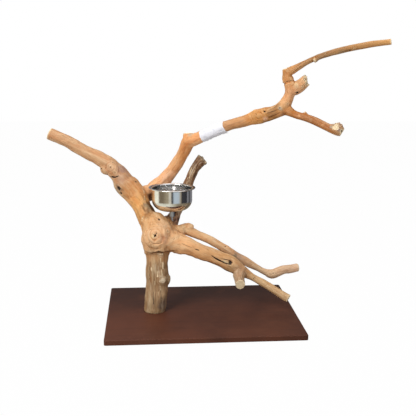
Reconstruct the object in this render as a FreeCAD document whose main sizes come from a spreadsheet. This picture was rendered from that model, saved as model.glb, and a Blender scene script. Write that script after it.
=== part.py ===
"""Parrot play stand: a branching hardwood tree on a board, with a steel food cup on a screwed rod.

Millimetres.  The origin is the middle of the board's underside, +X runs to the right of the stand,
+Y to its back and +Z up.  The tree is made of limbs.  Each limb is a loft through round rings: the
first ring is the limb's root, where it is seated on the limb that carries it, and the others are given
as steps from that root (right, back, up) with the girth of the wood there (its thickness across).
"""
import FreeCAD, Part
import os
import Sketcher

doc = FreeCAD.newDocument("ParrotPlayStand")
sheet = doc.addObject("Spreadsheet::Sheet", "Sizes")

# ---------------------------------------------------------------- driving sizes

BOARD = {
    "board_wide": 508, "board_deep": 406.4, "board_thick": 12.7,
    "board_corner": 6, "board_edge": 1.6,
    "trunk_from_left": 127, "trunk_from_front": 206,
}
TRUNK_FASTENERS = {
    "lag_shank": 8, "lag_long": 76, "lag_head_across": 12.7, "lag_head_high": 5.4,
    "lag_washer_across": 22, "lag_washer_thick": 1.6,
    "counterbore_across": 26, "counterbore_deep": 7.4,
    "screw_shank": 4.8, "screw_head": 9.4, "screw_long": 50, "screw_spread": 36,
}
CUP = {
    "cup_across": 110, "cup_deep": 63.5, "cup_corner": 30, "cup_wall": 1.0,
    "cup_rim_across": 127, "rim_bead": 3,
    "rod_right": 43, "rod_back": 46, "rod_thick": 6.35, "rod_long": 63.5,
    "nut_up": 92.4, "nut_across": 11.1, "nut_long": 15.9, "thread_engaged": 7.62,
    "washer_across": 15.9, "washer_thick": 1.2, "stud_flange_across": 16, "stud_flange_thick": 1.2,
}
JOINERY = {
    "dowel_thick": 12, "dowel_long": 56, "small_dowel_thick": 8, "small_dowel_long": 36,
    "dowel_chamfer": 1, "dowel_end_room": 1, "fit_gap": 0.05,
}
LABEL = {
    "label_long": 74, "label_wrap": 200, "label_thick": 0.4, "label_gap": 0.3, "label_from_elbow": 43,
}

# Rings of each limb after its root: right, back, up, girth.  The first value is the girth at the root.
LIMBS = {
    "trunk_post": (57, [(5, 2, 56, 57), (7, 4, 112, 58.5), (7, 7, 158, 60.5)]),
    "crotch": (66, [(1, 4, 22, 74), (4, 10, 47, 86), (-4.5, 22, 70.5, 77), (-24.5, 42, 90.5, 52)]),
    "left_leader": (52, [(-13.5, 20, 24.5, 51), (-29, 38, 50.5, 60), (-48, 47, 72, 66),
                         (-66, 53, 90, 58)]),
    "left_limb": (58, [(-14, 7, 24, 49), (-35.5, 14, 45, 44), (-63, 21, 61.5, 38), (-103, 32, 81.5, 36),
                       (-151, 43, 107, 33.5), (-201.5, 55, 129, 34)]),
    "upper_limb": (46, [(11, 13, 1.5, 45), (22, 25, 12, 42.5), (45, 35, 30, 40), (69.5, 32, 60, 35.5),
                        (91.5, 18, 95.5, 34), (103.5, 4, 121.5, 36.5), (112, -12, 144.5, 38.5),
                        (132, -28, 155, 34), (161, -46, 169.5, 31), (206, -70, 191.5, 29),
                        (246.5, -90, 206, 30.5), (270, -102, 216.5, 33)]),
    "fork_head": (33, [(16, -8, 5.5, 38.5), (34.5, -17, 9.5, 38), (56, -28, 17, 33.5),
                       (76.5, -38, 30.5, 36.5), (90, -41, 53.5, 28), (97, -43, 74, 27.5),
                       (92.5, -44, 94.5, 25)]),
    "top_perch": (26, [(-5.5, 0, 15, 27), (-3, -2, 27.5, 23), (15.5, -9, 38, 18), (38.5, -18, 52, 15),
                       (70.5, -32, 67, 15), (117, -48, 81.5, 15.5), (174.5, -66, 94.5, 15),
                       (233.5, -84, 103, 14)]),
    "lower_perch": (23, [(16, -6.5, -7.5, 19.5), (42, -24, -14.5, 19), (70, -40, -26.5, 21),
                         (91, -52, -36.5, 21.5), (109, -62, -41, 28), (119, -66, -47, 18)]),
    "stump_limb": (44, [(6, 10, 4, 38), (14, 25.5, 17.5, 33), (26.5, 39.5, 38.5, 30.5),
                        (40, 49.5, 64, 28.5), (54, 57.5, 101, 27), (67.5, 62.5, 133.5, 26),
                        (80.5, 64.5, 153, 28), (94.5, 62.5, 167.5, 33)]),
    "rear_limb": (33.5, [(14, 7, 1.5, 28.5), (44.5, 5.5, -13.5, 25.5), (80, 6, -30, 24),
                         (117, 6, -52, 24), (153, 6.5, -75.5, 24), (200, 8.5, -104.5, 21),
                         (229.5, 10.5, -122, 17), (251, 12.5, -133, 25), (279.5, 18.5, -128.5, 26),
                         (308, 27.5, -125.5, 24.5), (336, 36.5, -123, 23.5)]),
    "front_limb": (50, [(22, -3, -7.5, 43.5), (58, -5, -24.5, 42), (98.5, -8, -38.5, 40.5),
                        (128.5, -11, -53.5, 42), (155.5, -16, -69, 33.5), (178, -22, -82.5, 22),
                        (213.5, -36, -101, 20), (245, -53, -118, 20.5), (277, -70, -134.5, 21.5)]),
}

# How each limb is carried: the limb that carries it, and the ring there.  A limb with a collar leaves
# the side of that ring, and is seated on a collar that reaches this far out of the carrying wood.
CARRIED = {
    "crotch": ("trunk_post", 3, None),
    "left_leader": ("crotch", 4, None),
    "left_limb": ("left_leader", 4, None),
    "upper_limb": ("left_leader", 2, {"collar": 22, "flare": 50}),
    "fork_head": ("upper_limb", 12, None),
    "top_perch": ("fork_head", 7, None),
    "lower_perch": ("fork_head", 4, {"collar": 7.5, "flare": 30}),
    "stump_limb": ("crotch", 2, {"collar": 30, "flare": 70}),
    "rear_limb": ("crotch", 2, {"collar": 28, "flare": 58}),
    "front_limb": ("crotch", 2, {"collar": 30, "flare": 72}),
}
SMALL_DOWELS = ("fork_head", "top_perch", "lower_perch", "rear_limb")

# Sawn-off side branches that are part of a limb, as rings from the ring that they grow from.
SIDE_BRANCHES = {
    "side_stub": ("fork_head", 6, 25, [(19, -5, 10, 25), (33, -10, 23, 22.5)]),
    "foot_stub": ("front_limb", 5, 34, [(-8.5, -20, -13, 32), (-8.5, -34, -19.5, 28),
                                        (-10, -56, -23.5, 25)]),
    "elbow_knob": ("upper_limb", 7, 33, [(0, 6, 21.5, 29)]),
    "bend_knob": ("top_perch", 1, 24, [(-4, 2, 21, 18)]),
    "twig_stub": ("top_perch", 5, 9, [(-15.5, -3, -12, 8)]),
    "twig_nub": ("lower_perch", 2, 10, [(-9, 8, 16, 6)]),
}
# Round swellings: the limb, the ring they sit beside, the step to their middle, and their half sizes.
SWELLINGS = {
    "burl": ("left_limb", 2, (-9.5, -7, -9), (17, 15, 15)),
    "rear_bump": ("rear_limb", 1, (9, -4, 7.5), (13, 10, 10)),
    "post_knot": ("trunk_post", 2, (26, -2, -26), (8, 10, 14)),
}

# ---------------------------------------------------------------- the sheet

next_row = 1


def put_size(alias, value):
    """Write one size on the next row of the sheet, under its alias."""
    global next_row
    sheet.set(f"A{next_row}", alias)
    sheet.set(f"B{next_row}", str(value))
    sheet.setAlias(f"B{next_row}", alias)
    next_row += 1


def put_ring(limb, number, ring):
    for part, value in zip(("right", "back", "up", "girth"), ring):
        put_size(f"{limb}_{number}_{part}", value)


for group in (BOARD, TRUNK_FASTENERS, CUP, JOINERY, LABEL):
    for alias, value in group.items():
        put_size(alias, value)
for limb, (root_girth, rings) in LIMBS.items():
    put_size(f"{limb}_0_girth", root_girth)
    for number, ring in enumerate(rings, 1):
        put_ring(limb, number, ring)
for limb, (carrier, at_ring, collar) in CARRIED.items():
    if collar:
        put_size(f"{limb}_collar", collar["collar"])
        put_size(f"{limb}_flare", collar["flare"])
for branch, (limb, at_ring, root_girth, rings) in SIDE_BRANCHES.items():
    put_size(f"{branch}_0_girth", root_girth)
    for number, ring in enumerate(rings, 1):
        put_ring(branch, number, ring)
for swelling, (limb, at_ring, step, half_sizes) in SWELLINGS.items():
    for part, value in zip(("right", "back", "up"), step):
        put_size(f"{swelling}_{part}", value)
    for part, value in zip(("half_wide", "half_deep", "half_high"), half_sizes):
        put_size(f"{swelling}_{part}", value)
doc.recompute()

# ---------------------------------------------------------------- expressions for places

UP = ("0", "0", "1")
HERE = ("0", "0", "0")
TRUNK_FOOT = ("Sizes.trunk_from_left - Sizes.board_wide / 2",
              "Sizes.trunk_from_front - Sizes.board_deep / 2",
              "Sizes.board_thick")
SCREW_SIDES = {-1: "left", 1: "right"}
ROD_STEP = ("Sizes.rod_right", "Sizes.rod_back", "Sizes.nut_up")
ROD_TOP_IN_NUT = "(Sizes.nut_long - Sizes.thread_engaged - Sizes.dowel_end_room)"


def ring_at(limb, number):
    """A ring's step from the limb's root."""
    if number == 0:
        return HERE
    return tuple(f"Sizes.{limb}_{number}_{part}" for part in ("right", "back", "up"))


def plus(a, b):
    return tuple(f"({p} + {q})" for p, q in zip(a, b))


def minus(a, b):
    return tuple(f"({p} - {q})" for p, q in zip(a, b))


def times(a, factor):
    return tuple(f"({p} * {factor})" for p in a)


def length(a):
    return f"sqrt({a[0]} ^ 2 + {a[1]} ^ 2 + {a[2]} ^ 2)"


def first_run(limb):
    return ring_at(limb, 1)


def facing(direction):
    """The rotation that turns +Z to a direction; an upright direction needs none."""
    if direction == UP:
        return "rotation(vector(0; 0; 1); 0)"
    x, y, z = direction
    return f"rotation(vector(-({y}); {x}; 0); acos({z} / {length(direction)}))"


def placed(position, direction=UP, along="0"):
    """A placement at a position, turned to a direction and moved along it."""
    turned = f"placement(vector({position[0]}; {position[1]}; {position[2]}); {facing(direction)})"
    if along == "0":
        return turned
    return f"{turned} * placement(vector(0; 0; {along}); rotation(vector(0; 0; 1); 0))"


def root_of(limb):
    """Where a limb's root lies, as a step from the root of the limb that carries it."""
    carrier, number, collar = CARRIED[limb]
    if collar is None:
        return ring_at(carrier, number)
    run = first_run(limb)
    reach = f"(Sizes.{carrier}_{number}_girth / 2 + Sizes.{limb}_collar)"
    return plus(ring_at(carrier, number), times(run, f"{reach} / {length(run)}"))


def carried_on_end(limb):
    """The limb that is seated on the last ring of this one, or None."""
    for other, (carrier, number, collar) in CARRIED.items():
        if carrier == limb and collar is None:
            return other
    return None


# ---------------------------------------------------------------- building blocks


def origin_plane(body, role="XY_Plane"):
    return next(item for item in body.Origin.OriginFeatures if item.Role == role)


def attach(feature, body, offset, role="XY_Plane"):
    feature.AttachmentSupport = [(origin_plane(body, role), "")]
    feature.MapMode = "FlatFace"
    if offset is not None:
        feature.setExpression("AttachmentOffset", offset)


def add_circle(sketch, diameter, start=10.0):
    """A circle about the sketch's origin, its diameter bound to an expression."""
    number = sketch.addGeometry(Part.Circle(FreeCAD.Vector(), FreeCAD.Vector(0, 0, 1), start / 2))
    sketch.addConstraint(Sketcher.Constraint("Coincident", number, 3, -1, 1))
    size = sketch.addConstraint(Sketcher.Constraint("Diameter", number, start))
    sketch.setExpression(f"Constraints[{size}]", diameter)
    return number


def add_ring(name, position, direction, girth):
    """A round section of a limb, square to a direction."""
    ring = doc.addObject("Part::Circle", name)
    ring.setExpression("Radius", f"({girth}) / 2")
    ring.setExpression("Placement", placed(position, direction))
    return ring


def add_loft(name, rings):
    """Wood through a row of rings, in short curves that keep to each ring's girth."""
    loft = doc.addObject("Part::Loft", name)
    loft.Sections = rings
    loft.Solid = True
    loft.MaxDegree = 2
    return loft


def add_drill(name, diameter, depth, position=HERE, direction=UP, along="0"):
    """The round space of a drilled hole, from a position along a direction."""
    drill = doc.addObject("Part::Cylinder", name)
    drill.setExpression("Radius", f"({diameter}) / 2")
    drill.setExpression("Height", depth)
    drill.setExpression("Placement", placed(position, direction, along))
    return drill


def fused(name, pieces):
    """One piece made of several, or the only one."""
    if len(pieces) == 1:
        return pieces[0]
    whole = doc.addObject("Part::MultiFuse", name)
    whole.Shapes = pieces
    return whole


def add_disc(body, name, diameter, thickness, position=HERE, direction=UP, along="0"):
    """A round pad of a body: a circle, and how far it is padded along its direction."""
    sketch = body.newObject("Sketcher::SketchObject", f"{name}_circle")
    attach(sketch, body, placed(position, direction, along))
    add_circle(sketch, diameter)
    pad = body.newObject("PartDesign::Pad", name)
    pad.Profile = sketch
    pad.setExpression("Length", thickness)
    return pad


def add_round_hole(body, name, diameter, depth, position=HERE, direction=UP, along="0"):
    """A round hole of a depth, which starts at a position and runs along a direction."""
    hole = body.newObject("PartDesign::SubtractiveCylinder", name)
    attach(hole, body, placed(position, direction, along))
    hole.setExpression("Radius", f"({diameter}) / 2")
    hole.setExpression("Height", depth)
    return hole


def edges_at(shape, test):
    """Names of the edges of a shape whose middle passes a test."""
    names = []
    for number, edge in enumerate(shape.Edges, 1):
        if test(edge):
            names.append(f"Edge{number}")
    return names


def bind_place(item, place):
    for axis, value in zip("xyz", place):
        item.setExpression(f"Placement.Base.{axis}", value)


def in_millimetres(a):
    return tuple(f"({p}) * 1 mm" for p in a)


# ---------------------------------------------------------------- limbs

bodies = {}


def limb_rings(limb, prefix, numbers, extra="0"):
    """Rings of a limb, each square to the run of the wood through it, some wider than the wood."""
    last = len(LIMBS[limb][1])
    rings = []
    for number in numbers:
        if number == 0:
            direction = UP if limb == "trunk_post" else first_run(limb)
        elif number < last:
            direction = minus(ring_at(limb, number + 1), ring_at(limb, number - 1))
        elif carried_on_end(limb):
            direction = first_run(carried_on_end(limb))
        else:
            direction = minus(ring_at(limb, number), ring_at(limb, number - 1))
        girth = f"Sizes.{limb}_{number}_girth + 2 * ({extra})"
        rings.append(add_ring(f"{prefix}_ring_{number}", ring_at(limb, number), direction, girth))
    return rings


def add_collar(limb):
    """The collar on the carrying limb that another limb is seated on."""
    carrier, number, collar = CARRIED[limb]
    run = first_run(limb)
    inner = add_ring(f"{limb}_collar_inner", ring_at(carrier, number), run, f"Sizes.{limb}_flare")
    seat = add_ring(f"{limb}_collar_seat", root_of(limb), run, f"Sizes.{limb}_0_girth")
    return add_loft(f"{limb}_collar", [inner, seat])


def add_side_branch(branch):
    """A sawn-off branch, which starts at the heart of a ring of its limb."""
    limb, number, root_girth, rings = SIDE_BRANCHES[branch]
    heart = ring_at(limb, number)
    steps = [HERE] + [ring_at(branch, step + 1) for step in range(len(rings))]
    last = len(rings)
    sections = []
    for step in range(last + 1):
        direction = minus(steps[min(step + 1, last)], steps[max(step - 1, 0)])
        sections.append(add_ring(f"{branch}_ring_{step}", plus(heart, steps[step]), direction,
                                 f"Sizes.{branch}_{step}_girth"))
    return add_loft(branch, sections)


def add_swelling(swelling):
    """A burl or knot: an ellipsoid that stands half out of the wood."""
    limb, number, step, half_sizes = SWELLINGS[swelling]
    middle = plus(ring_at(limb, number), tuple(f"Sizes.{swelling}_{part}"
                                               for part in ("right", "back", "up")))
    lump = doc.addObject("Part::Ellipsoid", swelling)
    lump.setExpression("Placement", placed(middle))
    lump.setExpression("Radius2", f"Sizes.{swelling}_half_wide")
    lump.setExpression("Radius3", f"Sizes.{swelling}_half_deep")
    lump.setExpression("Radius1", f"Sizes.{swelling}_half_high")
    return lump


def dowel_sizes(limb):
    kind = "small_dowel" if limb in SMALL_DOWELS else "dowel"
    return f"Sizes.{kind}_thick", f"Sizes.{kind}_long"


def dowel_hole(name, limb, position):
    """The hole for the dowel of a limb's seat, half in the limb and half in its carrier."""
    thick, long = dowel_sizes(limb)
    depth = f"({long} + 2 * Sizes.dowel_end_room)"
    return add_drill(name, f"{thick} + 2 * Sizes.fit_gap", depth, position, first_run(limb),
                     f"-{depth} / 2")


def trunk_screw_holes():
    """Pilot holes in the foot of the trunk, for the lag screw and the two side screws."""
    lag_depth = "(Sizes.lag_long + Sizes.counterbore_deep - Sizes.lag_washer_thick" \
                " - Sizes.board_thick + Sizes.dowel_end_room)"
    holes = [add_drill("lag_pilot", "Sizes.lag_shank + 2 * Sizes.fit_gap", lag_depth)]
    depth = "(Sizes.screw_long - Sizes.board_thick + Sizes.dowel_end_room)"
    for side, name in SCREW_SIDES.items():
        position = (f"{side} * Sizes.screw_spread / 2", "0", "0")
        holes.append(add_drill(f"{name}_screw_pilot", "Sizes.screw_shank + 2 * Sizes.fit_gap",
                               depth, position))
    return holes


def rod_hole():
    """The blind hole in the crotch that the cup's rod screws into."""
    up = f"{ROD_STEP[2]} + {ROD_TOP_IN_NUT} - Sizes.rod_long - Sizes.dowel_end_room"
    return [add_drill("rod_hole", "Sizes.rod_thick + 2 * Sizes.fit_gap", "Sizes.rod_long",
                      (ROD_STEP[0], ROD_STEP[1], up))]


EXTRA_HOLES = {"trunk_post": trunk_screw_holes, "crotch": rod_hole}


def make_limb(limb):
    """A limb with its collars, sawn branches and swellings, drilled for its dowels."""
    wood = [add_loft(f"{limb}_wood", limb_rings(limb, limb, range(len(LIMBS[limb][1]) + 1)))]
    wood += [add_collar(other) for other, (carrier, number, collar) in CARRIED.items()
             if carrier == limb and collar]
    wood += [add_side_branch(branch) for branch, row in SIDE_BRANCHES.items() if row[0] == limb]
    wood += [add_swelling(swelling) for swelling, row in SWELLINGS.items() if row[0] == limb]

    holes = [dowel_hole(f"{limb}_{other}_hole", other, root_of(other))
             for other, (carrier, number, collar) in CARRIED.items() if carrier == limb]
    if limb in CARRIED:
        holes.append(dowel_hole(f"{limb}_root_hole", limb, HERE))
    if limb in EXTRA_HOLES:
        holes += EXTRA_HOLES[limb]()

    body = doc.addObject("Part::Cut", limb)
    body.Base = fused(f"{limb}_grown", wood)
    body.Tool = fused(f"{limb}_holes", holes)
    bodies[limb] = body
    if limb in CARRIED:
        carrier_place = [f"{CARRIED[limb][0]}.Placement.Base.{axis}" for axis in "xyz"]
        bind_place(body, plus(carrier_place, in_millimetres(root_of(limb))))
    else:
        bind_place(body, in_millimetres(TRUNK_FOOT))


def make_dowel(limb):
    """The dowel across a limb's seat, chamfered at both ends."""
    thick, long = dowel_sizes(limb)
    body = doc.addObject("PartDesign::Body", f"{limb}_dowel")
    bodies[body.Label] = body
    pin = add_disc(body, f"{limb}_dowel_pin", thick, long, HERE, first_run(limb), f"-{long} / 2")
    doc.recompute()
    chamfer = body.newObject("PartDesign::Chamfer", f"{limb}_dowel_ends")
    rims = edges_at(pin.Shape, lambda edge: isinstance(edge.Curve, Part.Circle))
    chamfer.Base = (pin, rims)
    chamfer.setExpression("Size", "Sizes.dowel_chamfer")
    bind_place(body, tuple(f"{limb}.Placement.Base.{axis}" for axis in "xyz"))


# ---------------------------------------------------------------- board and its fasteners

def trunk_axis(up):
    return (f"({TRUNK_FOOT[0]})", f"({TRUNK_FOOT[1]})", up)


def screw_place(side, up):
    return (f"({TRUNK_FOOT[0]} + {side} * Sizes.screw_spread / 2)", f"({TRUNK_FOOT[1]})", up)


def add_countersunk_hole(body, name, place, depth):
    """A screw hole from below: the shank's hole and its countersink."""
    add_round_hole(body, f"{name}_shank_hole", "Sizes.screw_shank + 2 * Sizes.fit_gap", depth, place)
    sink = body.newObject("PartDesign::SubtractiveCone", f"{name}_sink")
    attach(sink, body, placed(place))
    sink.setExpression("Radius1", "Sizes.screw_head / 2 + Sizes.fit_gap")
    sink.setExpression("Radius2", "Sizes.screw_shank / 2 + Sizes.fit_gap")
    sink.setExpression("Height", "(Sizes.screw_head - Sizes.screw_shank) / 2")


def make_board():
    body = doc.addObject("PartDesign::Body", "base_board")
    bodies["base_board"] = body
    sketch = body.newObject("Sketcher::SketchObject", "board_outline")
    attach(sketch, body, None)
    corners = [FreeCAD.Vector(x, y, 0) for x, y in ((-10, -8), (10, -8), (10, 8), (-10, 8))]
    for number in range(4):
        sketch.addGeometry(Part.LineSegment(corners[number], corners[(number + 1) % 4]))
    for number in range(4):
        sketch.addConstraint(Sketcher.Constraint("Coincident", number, 2, (number + 1) % 4, 1))
    for number, way in enumerate(("Horizontal", "Vertical", "Horizontal", "Vertical")):
        sketch.addConstraint(Sketcher.Constraint(way, number))
    sketch.addConstraint(Sketcher.Constraint("Symmetric", 0, 1, 2, 1, -1, 1))
    wide = sketch.addConstraint(Sketcher.Constraint("DistanceX", 0, 1, 0, 2, 20))
    deep = sketch.addConstraint(Sketcher.Constraint("DistanceY", 1, 1, 1, 2, 16))
    sketch.setExpression(f"Constraints[{wide}]", "Sizes.board_wide")
    sketch.setExpression(f"Constraints[{deep}]", "Sizes.board_deep")
    pad = body.newObject("PartDesign::Pad", "board_slab")
    pad.Profile = sketch
    pad.setExpression("Length", "Sizes.board_thick")
    doc.recompute()

    corners = body.newObject("PartDesign::Fillet", "board_corners")
    corners.Base = (pad, edges_at(pad.Shape, lambda edge: edge.BoundBox.ZLength > 1))
    corners.setExpression("Radius", "Sizes.board_corner")
    doc.recompute()
    rims = body.newObject("PartDesign::Fillet", "board_edges")
    top = corners.Shape.BoundBox.ZMax
    rims.Base = (corners, edges_at(corners.Shape, lambda edge: edge.BoundBox.ZMin > top - 0.001))
    rims.setExpression("Radius", "Sizes.board_edge")

    add_round_hole(body, "lag_counterbore", "Sizes.counterbore_across", "Sizes.counterbore_deep",
                   trunk_axis("0"))
    add_round_hole(body, "lag_hole", "Sizes.lag_shank + 2 * Sizes.fit_gap", "Sizes.board_thick",
                   trunk_axis("0"))
    for side, name in SCREW_SIDES.items():
        add_countersunk_hole(body, f"board_{name}_screw", screw_place(side, "0"), "Sizes.board_thick")


def add_hexagon(body, name, across_flats, thickness, along):
    """A hexagonal pad of a width across flats, from a height along +Z."""
    sketch = body.newObject("Sketcher::SketchObject", f"{name}_outline")
    attach(sketch, body, placed(HERE, UP, along))
    corner = [FreeCAD.Vector(x, y, 0) for x, y in ((6, 0), (3, 5), (-3, 5), (-6, 0), (-3, -5), (3, -5))]
    for number in range(6):
        sketch.addGeometry(Part.LineSegment(corner[number], corner[(number + 1) % 6]))
    guide = sketch.addGeometry(Part.Circle(FreeCAD.Vector(), FreeCAD.Vector(0, 0, 1), 6), True)
    for number in range(6):
        sketch.addConstraint(Sketcher.Constraint("Coincident", number, 2, (number + 1) % 6, 1))
        sketch.addConstraint(Sketcher.Constraint("PointOnObject", number, 1, guide))
    for number in range(5):
        sketch.addConstraint(Sketcher.Constraint("Equal", number, number + 1))
    sketch.addConstraint(Sketcher.Constraint("Coincident", guide, 3, -1, 1))
    sketch.addConstraint(Sketcher.Constraint("PointOnObject", 0, 1, -1))
    size = sketch.addConstraint(Sketcher.Constraint("Radius", guide, 6))
    sketch.setExpression(f"Constraints[{size}]", f"{across_flats} / sqrt(3)")
    pad = body.newObject("PartDesign::Pad", name)
    pad.Profile = sketch
    pad.setExpression("Length", thickness)
    return pad


def make_lag_screw():
    """A hexagon-headed screw up through the board into the foot of the trunk, and its washer."""
    seat = "(Sizes.counterbore_deep - Sizes.lag_washer_thick)"
    screw = doc.addObject("PartDesign::Body", "lag_screw")
    bodies["lag_screw"] = screw
    add_hexagon(screw, "lag_head", "Sizes.lag_head_across", "Sizes.lag_head_high",
                "-Sizes.lag_head_high")
    add_disc(screw, "lag_body", "Sizes.lag_shank", "Sizes.lag_long")
    bind_place(screw, in_millimetres(trunk_axis(seat)))

    washer = doc.addObject("PartDesign::Body", "lag_washer")
    bodies["lag_washer"] = washer
    add_disc(washer, "lag_washer_disc", "Sizes.lag_washer_across", "Sizes.lag_washer_thick")
    add_round_hole(washer, "lag_washer_hole", "Sizes.lag_shank + 2 * Sizes.fit_gap",
                   "Sizes.lag_washer_thick")
    bind_place(washer, in_millimetres(trunk_axis(seat)))


def make_side_screws():
    """Two countersunk screws beside the lag screw, which keep the trunk from turning."""
    screws = []
    for side, name in SCREW_SIDES.items():
        head = doc.addObject("Part::Cone", f"{name}_screw_head")
        head.setExpression("Radius1", "Sizes.screw_head / 2")
        head.setExpression("Radius2", "Sizes.screw_shank / 2")
        head.setExpression("Height", "(Sizes.screw_head - Sizes.screw_shank) / 2")
        shank = doc.addObject("Part::Cylinder", f"{name}_screw_shank")
        shank.setExpression("Radius", "Sizes.screw_shank / 2")
        shank.setExpression("Height", "Sizes.screw_long")
        for item in (head, shank):
            bind_place(item, in_millimetres(screw_place(side, "0")))
        screw = doc.addObject("Part::Fuse", f"{name}_screw")
        screw.Base = head
        screw.Tool = shank
        screws.append(screw)
    group = doc.addObject("Part::Compound", "side_screws")
    group.Links = screws
    bodies["side_screws"] = group


# ---------------------------------------------------------------- food cup

NUT_TOP = "Sizes.nut_long"
CUP_BOTTOM = "(Sizes.nut_long + Sizes.washer_thick + Sizes.stud_flange_thick)"


def place_on_rod(body, up):
    """Stand a body on the rod's axis, at a height above the coupling nut's underside."""
    crotch_place = [f"crotch.Placement.Base.{axis}" for axis in "xyz"]
    step = (ROD_STEP[0], ROD_STEP[1], f"{ROD_STEP[2]} + {up}")
    bind_place(body, plus(crotch_place, in_millimetres(step)))


def make_rod():
    rod = doc.addObject("PartDesign::Body", "cup_rod")
    bodies["cup_rod"] = rod
    add_disc(rod, "cup_rod_bar", "Sizes.rod_thick", "Sizes.rod_long", HERE, UP, "-Sizes.rod_long")
    place_on_rod(rod, ROD_TOP_IN_NUT)


def make_coupling_nut():
    nut = doc.addObject("PartDesign::Body", "coupling_nut")
    bodies["coupling_nut"] = nut
    add_hexagon(nut, "coupling_hexagon", "Sizes.nut_across", "Sizes.nut_long", "0")
    add_round_hole(nut, "coupling_thread", "Sizes.rod_thick + 2 * Sizes.fit_gap", "Sizes.nut_long")
    place_on_rod(nut, "0")


def make_cup_washer():
    washer = doc.addObject("PartDesign::Body", "cup_washer")
    bodies["cup_washer"] = washer
    add_disc(washer, "cup_washer_disc", "Sizes.washer_across", "Sizes.washer_thick")
    add_round_hole(washer, "cup_washer_hole", "Sizes.rod_thick + 2 * Sizes.fit_gap",
                   "Sizes.washer_thick")
    place_on_rod(washer, NUT_TOP)


def make_cup_stud():
    """The threaded stud under the cup, with the flange that is welded to the bowl."""
    stud = doc.addObject("PartDesign::Body", "cup_stud")
    bodies["cup_stud"] = stud
    add_disc(stud, "stud_flange", "Sizes.stud_flange_across", "Sizes.stud_flange_thick")
    shank = "(Sizes.washer_thick + Sizes.thread_engaged)"
    add_disc(stud, "stud_shank", "Sizes.rod_thick", shank, HERE, UP, f"-{shank}")
    place_on_rod(stud, f"{NUT_TOP} + Sizes.washer_thick")


def make_bowl():
    """The steel bowl: a straight wall, a well-rounded bottom and a flat rim with a rolled edge."""
    bowl = doc.addObject("PartDesign::Body", "cup_bowl")
    bodies["cup_bowl"] = bowl
    solid = add_disc(bowl, "bowl_drum", "Sizes.cup_across", "Sizes.cup_deep")
    doc.recompute()
    bottom = bowl.newObject("PartDesign::Fillet", "bowl_bottom")
    low = solid.Shape.BoundBox.ZMin
    bottom.Base = (solid, edges_at(solid.Shape, lambda edge: edge.BoundBox.ZMax < low + 0.001))
    bottom.setExpression("Radius", "Sizes.cup_corner")
    doc.recompute()
    hollow = bowl.newObject("PartDesign::Thickness", "bowl_hollow")
    faces = bottom.Shape.Faces
    mouth = max(range(len(faces)), key=lambda number: faces[number].BoundBox.ZMin)
    hollow.Base = (bottom, [f"Face{mouth + 1}"])
    hollow.setExpression("Value", "Sizes.cup_wall")
    hollow.Mode = 0
    hollow.Join = 0
    hollow.Reversed = True
    doc.recompute()

    outer = "Sizes.cup_rim_across - Sizes.rim_bead"
    add_disc(bowl, "bowl_rim", outer, "Sizes.cup_wall", HERE, UP,
             "(Sizes.cup_deep - Sizes.cup_wall)")
    inner = "Sizes.cup_across - 2 * Sizes.cup_wall"
    add_round_hole(bowl, "bowl_mouth", inner, "2 * Sizes.cup_wall", HERE, UP,
                   "(Sizes.cup_deep - 2 * Sizes.cup_wall)")
    bead = bowl.newObject("PartDesign::AdditiveTorus", "bowl_rolled_edge")
    attach(bead, bowl, placed(HERE, UP, "(Sizes.cup_deep - Sizes.rim_bead / 2)"))
    bead.setExpression("Radius1", "(Sizes.cup_rim_across - Sizes.rim_bead) / 2")
    bead.setExpression("Radius2", "Sizes.rim_bead / 2")
    place_on_rod(bowl, CUP_BOTTOM)


# ---------------------------------------------------------------- paper label

ELBOW_RING = 7
RING_PAST_LABEL = 10


def make_sleeve(name, extra):
    """The upper limb, wider than the wood by some distance all round."""
    numbers = range(len(LIMBS["upper_limb"][1]) + 1)
    sleeve = add_loft(name, limb_rings("upper_limb", name, numbers, extra))
    bind_place(sleeve, tuple(f"upper_limb.Placement.Base.{axis}" for axis in "xyz"))
    return sleeve


def make_label():
    """A blank paper strip wrapped round the front of the upper limb, just past its elbow."""
    outside = make_sleeve("label_outside", "Sizes.label_gap + Sizes.label_thick")
    inside = make_sleeve("label_inside", "Sizes.label_gap")
    window = doc.addObject("Part::Cylinder", "label_window")
    window.setExpression("Radius", f"Sizes.upper_limb_{ELBOW_RING}_girth")
    window.setExpression("Height", "Sizes.label_long")
    window.setExpression("Angle", "Sizes.label_wrap")
    elbow = ring_at("upper_limb", ELBOW_RING)
    run = minus(ring_at("upper_limb", RING_PAST_LABEL), elbow)
    step = plus(elbow, times(run, f"Sizes.label_from_elbow / {length(run)}"))
    limb_place = [f"upper_limb.Placement.Base.{axis}" for axis in "xyz"]
    bind_place(window, plus(limb_place, in_millimetres(step)))
    x, y, z = run
    window.setExpression("Placement.Rotation.Yaw", f"atan2({y}; {x})")
    window.setExpression("Placement.Rotation.Pitch", f"acos({z} / {length(run)})")
    window.setExpression("Placement.Rotation.Roll", "0")

    skin = doc.addObject("Part::Cut", "label_skin")
    skin.Base = outside
    skin.Tool = inside
    label = doc.addObject("Part::Common", "paper_label")
    label.Base = skin
    label.Tool = window
    bodies["paper_label"] = label


# ---------------------------------------------------------------- assembly

make_board()
for limb in LIMBS:
    make_limb(limb)
for limb in CARRIED:
    make_dowel(limb)
make_lag_screw()
make_side_screws()
make_rod()
make_coupling_nut()
make_cup_washer()
make_cup_stud()
make_bowl()
make_label()
doc.recompute()

# ---------------------------------------------------------------- checks and files

for item in doc.Objects:
    if "Invalid" in item.State or "Error" in item.State:
        raise RuntimeError(f"{item.Label} did not build: {item.State}")
for node, item in bodies.items():
    shape = item.Shape
    if shape.isNull() or not shape.isValid():
        raise RuntimeError(f"{node} has no valid shape")
    expected = len(SCREW_SIDES) if node == "side_screws" else 1
    if len(shape.Solids) != expected:
        raise RuntimeError(f"{node} holds {len(shape.Solids)} solids, not {expected}")

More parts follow.
